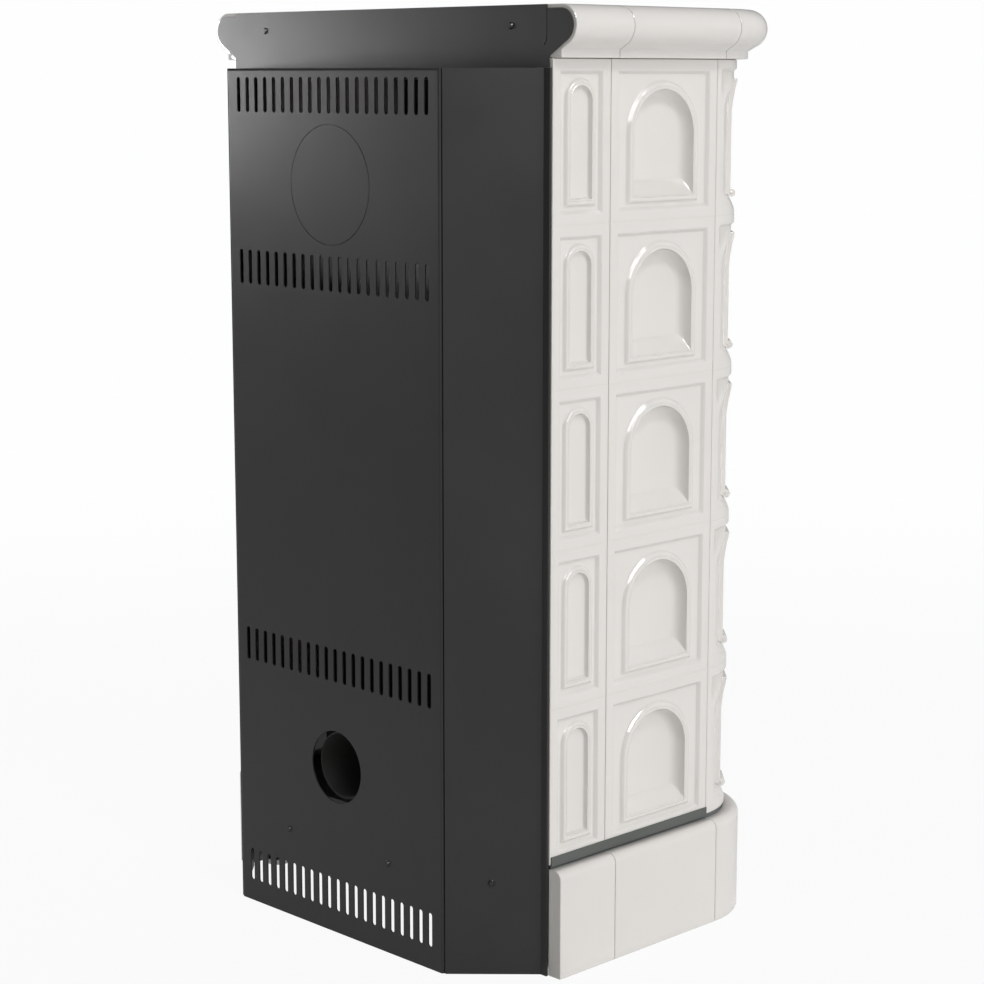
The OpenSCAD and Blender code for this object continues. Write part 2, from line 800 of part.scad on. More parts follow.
// Base frame of square tube: a front rail, two side rails, and a rear rail that follows the casing
// and is drawn in at the folded edges of the rear panel
module rear_rail_plan(inset) {
    near = flange_in + 2 * sheet - sqrt(2) * (sheet + seat + inset);
    far = near - sqrt(2) * (rail - 2 * inset);
    y0 = -2 * sheet - seat + inset;
    y1 = rear_back - sheet - seat - inset;
    y2 = y1 - rail + 2 * inset;
    fold_y = rear_back - fold_d - seat - inset;
    x1 = rear_w / 2 - sheet - seat - inset;
    cut = bend_r - sheet;
    translate([0, end_y]) polygon([[-near + y0, y0], [-near + fold_y, fold_y], [-x1, fold_y], [-x1, y1 - cut],
        [-x1 + cut, y1], [x1 - cut, y1], [x1, y1 - cut], [x1, fold_y], [near - fold_y, fold_y], [near - y0, y0],
        [far - y0, y0], [far - y2, y2], [-far + y2, y2], [-far + y0, y0]]);
}

module base_rails() {
    y2 = rear_back - sheet - seat - rail;
    bend = [-(flange_in + 2 * sheet - sqrt(2) * (sheet + seat + rail) - y2), y2];
    color(steel_frame) {
        mirrored_pair() translate([rail_in, corner_y + seat, rail_z]) tube_y(end_y - corner_y - 5);
        translate([-corner_x + seat, front_y + rail_set, rail_z]) tube_x(2 * (corner_x - seat));
        difference() {
            translate([0, 0, rail_z]) linear_extrude(rail) rear_rail_plan(0);
            translate([0, 0, rail_z + rail_wall]) linear_extrude(rail - 2 * rail_wall)
                rear_rail_plan(rail_wall);
            mirrored_pair() translate([bend[0], end_y + bend[1], rail_z - 1]) rotate([0, 0, 22.5])
                translate([0, -1, 0]) cube([seam, rail + 20, rail + 2]);
            for (s = [-1, 1]) translate([s * screw_x, rear_y - rail + 5, screw_z]) bar_y(2.7, rail);
            mirrored_pair() translate([panel_mid[0], panel_mid[1], screw_z]) rotate([0, 0, 45])
                translate([0, -rail + 5, 0]) bar_y(2.7, rail);
        }
    }
}

module base_corners() {
    r = rail_out - corner_x;
    color(steel_frame) mirrored_pair() at_left_corner(0) rotate_extrude(angle = 90)
        polygon([[20, base_h - 4], [r - 4, base_h - 4], [r - 4, rail_z], [r, rail_z], [r, base_h], [20, base_h]]);
}

cross_y = [corner_y + 1, box_y1 - 80];

module base_cross_rails() {
    color(steel_frame) for (y = cross_y)
        translate([-rail_in + seat, y, rail_z]) tube_x(2 * (rail_in - seat));
}

leg_y = [corner_y + 20, end_y - 60];

module base_legs() {
    color(steel_frame) mirrored_pair() for (y = leg_y) difference() {
        translate([rail_in, y, 20]) cube([rail, rail, rail_z - 20]);
        translate([rail_in + rail_wall, y + rail_wall, 20 + rail_wall])
            cube([rail - 2 * rail_wall, rail - 2 * rail_wall, rail_z]);
    }
}

module levelling_feet() {
    color(bright) mirrored_pair() for (y = leg_y) translate([rail_in + rail / 2, y + rail / 2, 0]) {
        cylinder(r = 18, h = 8);
        cylinder(r = 8, h = 20);
    }
}

module frame_post(h) {
    difference() {
        cube([post, post, h]);
        translate([sheet, sheet, -1]) cube([post - 2 * sheet, post - 2 * sheet, h + 2]);
    }
}

// Uprights: two behind the corner tiles up to the top plate, two at the casing up to the rear bar
bar_z = cornice_z + 20;
front_post = corner_r - 74.5;

module frame_posts() {
    color(steel_frame) mirrored_pair() {
        translate([corner_x + front_post - post / 2, corner_y - front_post - post / 2, base_h])
            frame_post(plate_top - 3 - base_h);
        translate([post_out - post, post_back - post, rail_top]) frame_post(bar_z - rail_top);
    }
}

module top_rear_bar() {
    color(steel_frame) difference() {
        translate([-post_out, post_back - post, bar_z]) cube([2 * post_out, post, plate_top - 3 - bar_z]);
        translate([-post_out - 1, post_back - post - 1, bar_z - 1])
            cube([2 * post_out + 2, post - 2, plate_top - 6 - bar_z]);
        for (s = [-1, 1]) translate([s * plate_screw_x, end_y - 12, cornice_z + nose_z]) bar_y(2.7, 12);
    }
}

// Two welded sides with a foot that carry the firebox on the cross rails
module firebox_stand() {
    t = 3;
    y0 = box_y0 + 20;
    len = box_d - 40;
    color(steel_frame) mirrored_pair() difference() {
        union() {
            translate([box_x - t, y0, rail_top]) cube([t, len, box_z - rail_top]);
            translate([box_x - 32, y0, rail_top]) cube([32, len, t]);
        }
        for (i = [0:2]) translate([box_x - t - 1, y0 + 40 + i * 95, rail_top + 50]) cube([t + 2, 65, 110]);
        for (z = [t, 50 - seam, 160]) translate([box_x - t - 1, y0 - 1, rail_top + z]) cube([t + 2, len + 2, seam]);
    }
}

// Firebox shell: a box welded of plates, open in front for the door frame
module firebox_shell() {
    w = box_x - box_t;
    ledge_z = brick_top + baffle_t + turn_h;
    color(steel_dark) difference() {
        translate([-box_x, box_y0, box_z]) cube([box_w, box_d, box_top - box_z]);
        difference() {
            translate([-w, box_y0 + box_t, box_z + box_t]) cube([2 * w, box_d - 2 * box_t, box_top - box_z - 2 * box_t]);
            for (s = [-1, 1]) translate([s * (w - 5) - 6, box_y0, ledge_z - 8]) cube([12, box_d - 140, 8]);
        }
        translate([-w, box_y0 - 1, box_z + box_t]) cube([2 * w, box_t + 2, frame_z1 - 7 - box_z - box_t]);
        translate([0, flue_mid, box_top - box_t - 1]) cylinder(r = flue_r + 4, h = box_t + 2);
        translate([0, box_y1 - box_t - 1, flue_z]) bar_y(flue_r, box_t + 2);
        for (s = [-1, 1]) translate([s * (rod_x - 4) - 10, box_y0 + 112, box_z - 1]) cube([20, 34, box_t + 2]);
        for (s = [-1, 1]) translate([s * (w + seam / 2) - seam / 2, box_y0 - 1, box_z - 1])
            cube([seam, box_d + 2, box_top - box_z + 2]);
        for (z = [box_z + box_t, box_top - box_t - seam]) translate([-w - 1, box_y0 - 1, z])
            cube([2 * w + 2, box_d + 2, seam]);
        translate([-w, box_y0 + box_t, ledge_z - 9]) cube([2 * w, seam, 10]);
    }
}

// Deck: the steel floor under the bricks, with the opening for the grate
module firebox_deck() {
    w = box_x - box_t - seat;
    y0 = frame_y + frame_t + seat;
    mid = box_y0 + box_d / 2;
    color(steel_dark) difference() {
        translate([-w, y0, deck_z]) cube([2 * w, box_y1 - box_t - seat - y0, deck_t]);
        translate([-grate_w / 2 + 8, mid - grate_d / 2 + 8, deck_z - 1]) cube([grate_w - 16, grate_d - 16, deck_t + 2]);
    }
}

module grate() {
    mid = box_y0 + box_d / 2;
    t = 12;
    n = 9;
    gap = 10;
    step = (grate_w - 30) / n;
    color(cast) translate([-grate_w / 2 + 1, mid - grate_d / 2 + 1, floor_z]) difference() {
        cube([grate_w - 2, grate_d - 2, t]);
        for (i = [0:n - 1]) for (y = [14, grate_d / 2 + 4])
            translate([14 + (i + 0.5) * step - gap / 2, y, -1]) cube([gap, grate_d / 2 - 18, t + 2]);
    }
}

// Floor bricks round the grate
module floor_bricks() {
    w = box_x - box_t - brick_t - 2 * seat - seat;
    y0 = box_y0 + 6;
    y1 = box_y1 - box_t - brick_t - 2 * seat;
    mid = box_y0 + box_d / 2;
    color(chamotte) translate([0, 0, floor_z]) {
        translate([-w, y0, 0]) cube([2 * w, mid - grate_d / 2 - y0, hearth_t]);
        translate([-w, mid + grate_d / 2, 0]) cube([2 * w, y1 - mid - grate_d / 2, hearth_t]);
        mirrored_pair() translate([grate_w / 2, mid - grate_d / 2 + 1, 0]) cube([w - grate_w / 2, grate_d - 2, hearth_t]);
    }
}

module side_bricks() {
    color(chamotte) mirrored_pair() translate([box_x - box_t - brick_t - seat, box_y0 + 6, floor_z])
        cube([brick_t, box_d - box_t - 6 - seat, lining_h]);
}

module back_brick() {
    w = box_x - box_t - brick_t - 2 * seat;
    color(chamotte) translate([-w, box_y1 - box_t - brick_t - seat, floor_z]) cube([2 * w, brick_t, lining_h]);
}

module baffle() {
    w = box_x - box_t - seat;
    color(chamotte) translate([-w, box_y0 + smoke_in, brick_top]) cube([2 * w, box_d - box_t - smoke_in - seat, baffle_t]);
}

module upper_baffle() {
    w = box_x - box_t - seat;
    color(steel_dark) translate([-w, box_y0 + box_t + seat, brick_top + baffle_t + turn_h])
        cube([2 * w, 0.6 * box_d, 4]);
}

// Log guard: two rails and upright bars standing on the front floor brick
module log_guard() {
    w = 158;
    h = 62;
    n = 12;
    y0 = box_y0 + 16;
    color(cast) translate([-w, y0, floor_z + hearth_t]) difference() {
        cube([2 * w, 8, h]);
        for (i = [0:n - 1]) translate([12 + i * (2 * w - 24) / n + 4, -1, 10]) {
            cube([(2 * w - 24) / n - 8, 10, h - 28]);
            translate([(2 * w - 24) / n / 2 - 4, 0, h - 28]) bar_y((2 * w - 24) / n / 2 - 4, 10);
        }
    }
}

module flue_collar() {
    h = 58;
    color(cast) translate([0, flue_mid, box_top]) difference() {
        union() {
            cylinder(r = flue_r + 4, h = h);
            cylinder(r = flue_r + 18, h = 4);
        }
        translate([0, 0, -1]) cylinder(r = flue_r, h = h + 2);
    }
}

// Cap on the rear flue outlet: a disc with a stepped seat and a bridge screw
module flue_cap() {
    color(cast) translate([0, box_y1, flue_z]) {
        bar_y(flue_r + 12, 4);
        bar_y(flue_r * 0.7, 8);
        bar_y(9, 16);
    }
}

// Air box under the firebox: a shallow plenum and a drop duct, welded of plates
air_back = box_y1 - 10;

module air_box() {
    t = sheet;
    w = box_x - 10;
    y0 = box_y0 + 95;
    z0 = box_z - 80;
    h = box_z - z0;
    dx = air_r + 17;
    dy = air_back - 66;
    dz = air_z - air_r - 15;
    duct_h = z0 - seam - dz - t - seam;
    color(steel_dark) {
        for (y = [y0, air_back - t]) translate([-w, y, z0]) cube([2 * w, t, h]);
        for (s = [-1, 1]) translate([s * (w - t / 2) - t / 2, y0 + t + seam, z0])
            cube([t, air_back - y0 - 2 * t - 2 * seam, h]);
        translate([-w + t + seam, y0 + t + seam, z0]) cube([2 * (w - t - seam), dy - y0 - seam, t]);
        mirrored_pair() translate([dx - t, dy + t + seam, z0])
            cube([w - dx - seam, air_back - dy - 2 * t - 2 * seam, t]);
        translate([-dx, dy, dz]) cube([2 * dx, air_back - dy, t]);
        translate([-dx, dy, dz + t + seam]) cube([2 * dx, t, duct_h]);
        for (s = [-1, 1]) translate([s * (dx - t / 2) - t / 2, dy + t + seam, dz + t + seam])
            cube([t, air_back - dy - 2 * t - 2 * seam, duct_h]);
        difference() {
            translate([-dx, air_back - t, dz + t + seam]) cube([2 * dx, t, duct_h]);
            translate([0, air_back - t - 1, air_z]) bar_y(air_r, t + 2);
        }
    }
}

// Inlet pipe from the drop duct to the hole in the rear panel
module air_pipe() {
    y0 = air_back + seam;
    len = rear_y - air_inset - y0;
    color(steel_dark) translate([0, y0, air_z]) difference() {
        bar_y(air_r + sheet, len);
        translate([0, -1, 0]) bar_y(air_r, len + 2);
    }
}

// Heat shield behind the firebox, on four spacers
module heat_shield() {
    gap = 54;
    w = box_x - 5;
    z0 = box_z + 14;
    h = box_top - box_z - 204;
    color(bright) {
        translate([-w, box_y1 + gap, z0]) cube([2 * w, sheet, h]);
        mirrored_pair() for (z = [z0 + 50, z0 + h - 60]) translate([0.75 * w, box_y1, z]) bar_y(6, gap + 0.5);
    }
}

// Door frame: a front plate with openings for fire and ash, a collar back to the firebox
// and lugs for the hinge pins
module door_frame() {
    y1 = frame_y + frame_t;
    collar_z0 = box_z + 0.5;
    collar_z1 = frame_z1 - 3;
    ash_x = drawer_w / 2 + 2;
    color(cast) {
        difference() {
            translate([-frame_x, frame_y, frame_z0]) cube([2 * frame_x, frame_t, frame_z1 - frame_z0]);
            translate([-fire_x, frame_y - 1, leaf_z0 + seal_in + 3])
                cube([2 * fire_x, frame_t + 2, leaf_h - 2 * seal_in - 6]);
            translate([-ash_x, frame_y - 1, box_z + box_t]) cube([2 * ash_x, frame_t + 2, drawer_h + 5]);
            for (s = [-1, 1]) translate([s * rod_x, frame_y - 1, rod_z]) bar_y(rod_r + 0.3, frame_t + 2);
        }
        difference() {
            translate([-box_x, y1, collar_z0]) cube([box_w, box_y0 - y1, collar_z1 - collar_z0]);
            translate([-box_x + box_t, y1 - 1, box_z + box_t])
                cube([box_w - 2 * box_t, box_y0 - y1 + 2, collar_z1 - 5 - box_z - box_t]);
        }
        for (z = [leaf_z0 - 1 - lug_t, leaf_z1 + 1]) difference() {
            translate([hinge_x, hinge_y, z]) {
                cylinder(r = leaf_t / 2 - 1, h = lug_t);
                translate([-leaf_t / 2 + 1, 0, 0]) cube([leaf_t - 2, frame_y - hinge_y, lug_t]);
            }
            translate([hinge_x, hinge_y, z - 1]) cylinder(r = pin_r + fit_gap, h = lug_t + 2);
        }
    }
}

// Latch keeper: an arm from the frame and a lip across its end, open below for the cam
module latch_keeper() {
    w = frame_x - keeper_x;
    color(bright) translate([keeper_x, cam_y - 8, spindle_z]) {
        translate([0, 0, 9]) cube([w, frame_y - cam_y + 8 - seat, 5]);
        translate([0, 0, -7]) cube([w, 5, 16 - seam]);
    }
}

// Fire door: a cast leaf, round along the hinge, with a window, a groove for the seal and a pocket for the latch
module fire_door() {
    y0 = hinge_y - leaf_t / 2;
    back = y0 + leaf_t;
    wx = window_w / 2;
    wz0 = leaf_z0 + window_in;
    wz1 = leaf_z1 - window_in;
    rim = 4;
    color(cast) difference() {
        union() {
            translate([hinge_x, y0, leaf_z0]) cube([leaf_x1 - hinge_x, leaf_t, leaf_h]);
            translate([hinge_x, hinge_y, leaf_z0]) cylinder(r = leaf_t / 2, h = leaf_h);
        }
        translate([-wx, y0 - 1, wz0]) cube([2 * wx, leaf_t + 2, wz1 - wz0]);
        // Bevel round the window
        intersection() {
            linear_extrude(leaf_z1) polygon([[-wx - rim - 1, y0 - 1], [wx + rim + 1, y0 - 1], [wx, y0 + rim], [-wx, y0 + rim]]);
            translate([-wx - rim - 1, 0, 0]) along_x(2 * (wx + rim + 1))
                polygon([[y0 - 1, wz0 - rim - 1], [y0 + rim, wz0], [y0 + rim, wz1], [y0 - 1, wz1 + rim + 1]]);
        }
        // Rebate for the glass
        translate([-wx - glass_lap - 1, y0 + glass_seat, wz0 - glass_lap - 1])
            cube([2 * (wx + glass_lap + 1), leaf_t, wz1 - wz0 + 2 * (glass_lap + 1)]);
        // Groove for the rope seal
        translate([0, back - seal_d, 0]) seal_ring(0);
        // Pocket that the latch cam turns in, open towards the edge
        translate([spindle_x - 6, cam_y - 0.5, spindle_z - cam_len - 3])
            cube([leaf_x1 - spindle_x + 7, back - cam_y + 1.5, cam_len + 10]);
        translate([spindle_x, y0 - 1, spindle_z]) bar_y(spindle_r + fit_gap, leaf_t + 2);
        for (z = [leaf_z0 - 1, leaf_z1 - 25]) translate([hinge_x, hinge_y, z]) cylinder(r = pin_r + fit_gap, h = 26);
    }
}

// Ring of rope round the fire opening, from the groove's bottom to the leaf's back
module seal_ring(inset) {
    x = seal_x - inset;
    z0 = leaf_z0 + seal_in - seal_w + inset;
    z1 = leaf_z1 - seal_in + seal_w - inset;
    w = seal_w - 2 * inset;
    difference() {
        translate([-x, 0, z0]) cube([2 * x, seal_d + 1, z1 - z0]);
        translate([-x + w, -1, z0 + w]) cube([2 * (x - w), seal_d + 3, z1 - z0 - 2 * w]);
    }
}

module door_seal() {
    back = hinge_y + leaf_t / 2;
    color(rope) intersection() {
        translate([0, back - seal_d, 0]) seal_ring(0.2);
        translate([-frame_x, back - seal_d, leaf_z0]) cube([2 * frame_x, seal_d + 0.2, leaf_h]);
    }
}

module door_glass() {
    y0 = hinge_y - leaf_t / 2 + glass_seat + seat;
    x = window_w / 2 + glass_lap;
    color([0.16, 0.17, 0.17, 0.55]) translate([-x, y0, leaf_z0 + window_in - glass_lap])
        cube([2 * x, glass_t, leaf_h - 2 * window_in + 2 * glass_lap]);
}

// Clips that hold the glass in its rebate
module glass_clips() {
    y0 = hinge_y - leaf_t / 2 + glass_seat + 2 * seat + glass_t;
    y1 = hinge_y + leaf_t / 2 - seal_d - 0.5;
    color(bright) mirrored_pair() for (z = [leaf_z0 + window_in + 20, leaf_z1 - window_in - 60])
        translate([window_w / 2 + 3, y0, z]) cube([glass_lap - 3.5, y1 - y0, 40]);
}

module hinge_pins() {
    color(bright) translate([hinge_x, hinge_y, 0]) {
        translate([0, 0, leaf_z0 - 1 - lug_t]) cylinder(r = pin_r, h = lug_t + 20);
        translate([0, 0, leaf_z0 - 4 - lug_t]) cylinder(r = pin_r + 2, h = 3);
        translate([0, 0, leaf_z1 - 20]) cylinder(r = pin_r, h = lug_t + 21);
        translate([0, 0, leaf_z1 + 1 + lug_t]) cylinder(r = pin_r + 2, h = 3);
    }
}

// Handle: spindle, boss and a lever that hangs down
module door_handle() {
    face = hinge_y - leaf_t / 2;
    color(bright) translate([spindle_x, 0, spindle_z]) {
        translate([0, lever_y, 0]) bar_y(spindle_r, cam_y + cam_t - lever_y);
        translate([0, lever_y, 0]) bar_y(8, face - seat - lever_y);
        translate([-6, lever_y - 4, -40]) cube([12, 8, 48]);
    }
}

module handle_grip() {
    color(cast) translate([spindle_x, lever_y, spindle_z - handle_len]) {
        cylinder(r = grip_r, h = handle_len - 40);
        sphere(r = grip_r);
    }
}

// Latch cam on the spindle's end: it points down at rest and turns out behind the keeper
module latch_cam() {
    color(bright) translate([spindle_x, cam_y, spindle_z]) difference() {
        union() {
            bar_y(spindle_r + 0.9, cam_t);
            translate([-3.5, 0, -cam_len]) cube([7, cam_t, cam_len]);
        }
        translate([0, -1, 0]) bar_y(spindle_r + 0.02, cam_t + 2);
    }
}

module ash_drawer() {
    t = 2;
    x = drawer_w / 2;
    front = frame_y - seat;
    color(steel_dark) {
        difference() {
            translate([-x, front - 1, drawer_z]) cube([drawer_w, drawer_d + 1, drawer_h]);
            translate([-x + t, front + t, drawer_z + t]) cube([drawer_w - 2 * t, drawer_d - 2 * t, drawer_h]);
        }
        translate([-x - 12, front - drawer_front_t, drawer_front_z]) cube([drawer_w + 24, drawer_front_t, drawer_front_h]);
    }
}

module ash_knob() {
    y1 = frame_y - seat - drawer_front_t;
    z = drawer_front_z + drawer_front_h / 2;
    color(bright) translate([0, y1, z]) rotate([90, 0, 0]) {
        cylinder(r = 6, h = 14);
        translate([0, 0, 12]) cylinder(r1 = 9, r2 = 13, h = 5);
        translate([0, 0, 17]) cylinder(r = 13, h = 5);
    }
}

// Air control: a rod through the frame with a damper plate on the firebox floor
module air_rod(s) {
    y0 = frame_y - 6;
    color(bright) translate([s * rod_x, y0, 0]) {
        translate([0, 0, rod_z]) bar_y(rod_r, rod_len);
        translate([-3, rod_len - 8, box_z + box_t + seat]) cube([6, 8, rod_z - box_z - box_t]);
        translate([-s * 4 - damper_w / 2, rod_len - damper_d, box_z + box_t + seat])
            cube([damper_w, damper_d, 2]);
    }
}

module air_knob(s) {
    color(cast) translate([s * rod_x, frame_y - 1.5, rod_z]) rotate([90, 0, 0]) difference() {
        union() {
            cylinder(r = 8, h = 6);
            translate([0, 0, 6]) cylinder(r = 10, h = 12);
        }
        translate([0, 0, -1]) cylinder(r = rod_r + 0.02, h = 5.5);
    }
}

module primary_air_rod() { air_rod(1); }
module primary_air_knob() { air_knob(1); }
module secondary_air_rod() { air_rod(-1); }
module secondary_air_knob() { air_knob(-1); }

rear_panel();
corner_panel_left();
corner_panel_right();
cornice_plate();
rear_cover();
top_plate();
casing_screws();
ledge_angles();
half_tiles_left();
half_tiles_right();
full_tiles_left();
full_tiles_right();
corner_tiles_left();
corner_tiles_right();
front_tiles();
plinth_side_tiles();
plinth_corner_tiles();
plinth_front_tiles();
cornice_side_tiles();
cornice_corner_tiles();
cornice_front_tiles();
joint_strips();
base_rails();
base_corners();
base_cross_rails();
base_legs();
levelling_feet();
frame_posts();
top_rear_bar();
firebox_stand();
firebox_shell();
firebox_deck();
grate();
floor_bricks();
side_bricks();
back_brick();
baffle();
upper_baffle();
log_guard();
flue_collar();
flue_cap();
air_box();
air_pipe();
heat_shield();
door_frame();
latch_keeper();
fire_door();
door_glass();
glass_clips();
door_seal();
hinge_pins();
door_handle();
handle_grip();
latch_cam();
ash_drawer();
ash_knob();
primary_air_rod();
primary_air_knob();
secondary_air_rod();
secondary_air_knob();
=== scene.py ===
"""Tiled corner stove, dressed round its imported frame: glazed relief tiles, a folded steel back, a glass door.

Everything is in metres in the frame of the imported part: +Z up, the door towards -Y.
"""

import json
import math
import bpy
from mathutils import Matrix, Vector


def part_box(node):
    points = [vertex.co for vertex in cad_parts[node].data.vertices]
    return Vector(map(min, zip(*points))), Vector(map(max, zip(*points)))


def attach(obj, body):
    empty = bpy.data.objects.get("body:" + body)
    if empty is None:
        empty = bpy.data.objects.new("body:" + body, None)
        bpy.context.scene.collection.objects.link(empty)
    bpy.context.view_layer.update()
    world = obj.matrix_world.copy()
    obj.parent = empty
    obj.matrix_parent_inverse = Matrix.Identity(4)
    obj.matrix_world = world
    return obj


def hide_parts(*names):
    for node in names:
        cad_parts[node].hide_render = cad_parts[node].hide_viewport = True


bl_info = {
    "name": "Tiled corner stove",
    "version": (1, 0, 0),
    "blender": (4, 5, 0),
    "location": "View3D > Sidebar > Stove",
    "description": "Builds the glazed tiles, trim and finishes of a tiled corner stove on its frame",
    "category": "Object",
}

import bpy
import numpy as np
from bpy.props import FloatProperty, FloatVectorProperty, PointerProperty
from bpy.types import Operator, Panel, PropertyGroup
from mathutils import Matrix, Vector

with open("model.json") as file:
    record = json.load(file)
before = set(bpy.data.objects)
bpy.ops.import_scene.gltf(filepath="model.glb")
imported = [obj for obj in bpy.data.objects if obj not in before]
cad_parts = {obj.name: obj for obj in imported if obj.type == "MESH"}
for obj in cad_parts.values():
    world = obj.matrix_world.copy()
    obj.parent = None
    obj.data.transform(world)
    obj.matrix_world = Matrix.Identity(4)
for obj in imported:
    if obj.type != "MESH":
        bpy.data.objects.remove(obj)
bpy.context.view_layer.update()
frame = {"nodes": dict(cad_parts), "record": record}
MM = 0.001
WHITE = (0.985, 0.99, 0.99)

# Sizes read from the frame, in millimetres
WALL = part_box("full_tiles_left")
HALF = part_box("half_tiles_left")
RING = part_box("corner_tiles_left")
WALL_X = -WALL[0].x / MM
BASE_Z = WALL[0].z / MM
TILE_W = (WALL[1].y - WALL[0].y) / MM
HALF_W = (HALF[1].y - HALF[0].y) / MM
TILE_T = (WALL[1].x - WALL[0].x) / MM
CORNER_R = (RING[1].x - RING[0].x) / MM
CORNER_X = WALL_X - CORNER_R
FRONT_Y = RING[0].y / MM
CORNER_Y = FRONT_Y + CORNER_R
END_Y = HALF[1].y / MM
JOINT = (HALF[0].y - WALL[1].y) / MM
ROWS = 5
TILE_H = ((WALL[1].z - WALL[0].z) / MM - (ROWS - 1) * JOINT) / ROWS
PITCH = TILE_H + JOINT
CORNICE_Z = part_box("cornice_front_tiles")[0].z / MM
CORNICE_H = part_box("cornice_front_tiles")[1].z / MM - CORNICE_Z
PLINTH_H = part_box("plinth_front_tiles")[1].z / MM
PLINTH_OUT = FRONT_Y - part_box("plinth_front_tiles")[0].y / MM
CORNICE_OUT = FRONT_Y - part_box("cornice_front_tiles")[0].y / MM


def linear(r, g, b):
    """A screen colour of three values from 0 to 255 as linear light."""
    c = np.array([r, g, b], float) / 255
    low = c <= 0.04045
    return tuple(np.where(low, c / 12.92, ((c + 0.055) / 1.055) ** 2.4))


class StoveColours(PropertyGroup):
    """Colours of the stove's finishes."""

    glaze: FloatVectorProperty(
        name="Glaze", description="White glaze where it lies thick", subtype="COLOR",
        default=linear(223, 220, 217), min=0, max=1)
    glaze_thin: FloatVectorProperty(
        name="Thin glaze", description="Glaze where it has run off an edge", subtype="COLOR",
        default=linear(214, 208, 201), min=0, max=1)
    # Painted shade: a darker, warmer glaze colour laid into the hollows and creases of the relief
    glaze_painted_shade: FloatVectorProperty(
        name="Painted shade", description="Painted shade in the hollows and creases of the relief", subtype="COLOR",
        default=linear(205, 200, 194), min=0, max=1)
    paint: FloatVectorProperty(
        name="Stove paint", description="Satin black paint on the casing", subtype="COLOR",
        default=linear(43, 43, 43), min=0, max=1)
    strip: FloatVectorProperty(
        name="Ledge paint", description="Dark grey paint on the ledge angles", subtype="COLOR",
        default=linear(84, 87, 84), min=0, max=1)


class StoveSizes(PropertyGroup):
    """Sizes of the relief and the rounding that the finish adds."""

    edge: FloatProperty(
        name="Edge rounding", description="Radius of the tiles' outer edges, in mm",
        default=0.9, min=0.5, max=2.0)
    field: FloatProperty(
        name="Field depth", description="Depth of the field inside a tile's border, in mm",
        default=5.0, min=3.0, max=6.0)
    niche: FloatProperty(
        name="Niche depth", description="Depth of the niche of a full tile, in mm",
        default=20.0, min=12.0, max=21.0)


# Shader maths

class Val:
    """A socket that takes part in expressions: each operation adds its Math node."""

    def __init__(self, mat, socket):
        self.mat = mat
        self.socket = socket

    def _op(self, operation, a, b):
        return self.mat.node("ShaderNodeMath", {"operation": operation}, {0: a, 1: b})

    def __add__(self, other):
        return self._op("ADD", self, other)

    def __radd__(self, other):
        return self._op("ADD", other, self)

    def __rsub__(self, other):
        return self._op("SUBTRACT", other, self)

    def __mul__(self, other):
        return self._op("MULTIPLY", self, other)

    def __rmul__(self, other):
        return self._op("MULTIPLY", other, self)

    def clamp(self, low=0.0, high=1.0):
        return self._op("MINIMUM", self._op("MAXIMUM", self, low), high)

    def step(self, low, high):
        """Rises smoothly from 0 to 1 between low and high."""
        return self.mat.node(
            "ShaderNodeMapRange", {"interpolation_type": "SMOOTHSTEP"},
            {"Value": self, "From Min": low, "From Max": high, "To Min": 0.0, "To Max": 1.0})


class Nodes:
    """A shader tree that is built node by node."""

    def __init__(self, tree):
        self.tree = tree
        self.tree.nodes.clear()

    def put(self, node, key, value):
        """Sets or links one input socket of a node."""
        socket = node.inputs[key]
        if isinstance(value, Val):
            value = value.socket
        if isinstance(value, bpy.types.NodeSocket):
            self.tree.links.new(value, socket)
        elif isinstance(value, (tuple, list)) and socket.type == "RGBA":
            socket.default_value = (*value[:3], 1.0)
        elif isinstance(value, (tuple, list)):
            socket.default_value = tuple(value)
        else:
            socket.default_value = value

    def node(self, kind, settings, sockets, out=0):
        """Adds one node with its settings, then the values or links of its sockets."""
        n = self.tree.nodes.new(kind)
        for key, value in settings.items():
            setattr(n, key, value)
        for key, value in sockets.items():
            self.put(n, key, value)
        return Val(self, n.outputs[out])


class Mat(Nodes):
    """A procedural material: a Principled shader and the nodes that feed it."""

    def __init__(self, name, **sockets):
        self.mat = bpy.data.materials.new(name)
        self.mat.use_nodes = True
        super().__init__(self.mat.node_tree)
        self.out = self.tree.nodes.new("ShaderNodeOutputMaterial")
        self.shader = self.tree.nodes.new("ShaderNodeBsdfPrincipled")
        self.tree.links.new(self.shader.outputs["BSDF"], self.out.inputs["Surface"])
        self.place = self.tree.nodes.new("ShaderNodeTexCoord").outputs["Object"]
        for key, value in sockets.items():
            self.put(self.shader, key.replace("_", " "), value)

    def noise(self, scale, detail=3.0, rough=0.5, stretch=None):
        """Noise from about 0.3 to 0.7 over the object's place, with scale in features per metre."""
        place = self.place
        if stretch:
            place = self.node("ShaderNodeMapping", {"vector_type": "POINT"},
                              {"Vector": self.place, "Scale": stretch}).socket
        return self.node("ShaderNodeTexNoise", {"noise_dimensions": "3D"},
                         {"Vector": place, "Scale": scale, "Detail": detail, "Roughness": rough})

    def mix(self, factor, a, b):
        """Mixes two colours by a factor."""
        n = self.tree.nodes.new("ShaderNodeMix")
        n.data_type = "RGBA"
        for key, value in ((0, factor), (6, a), (7, b)):
            self.put(n, key, value)
        return Val(self, n.outputs[2])

    def attribute(self, name):
        return self.node("ShaderNodeAttribute", {"attribute_name": name}, {}, out=2)

    def bump(self, height, distance, strength=1.0):
        """Feeds a height in units of distance, in metres, to the shader's normal."""
        b = self.node("ShaderNodeBump", {}, {"Height": height, "Distance": distance, "Strength": strength})
        self.put(self.shader, "Normal", b)

    def base(self, colour):
        self.put(self.shader, "Base Color", colour)

    def rough(self, value):
        self.put(self.shader, "Roughness", value)


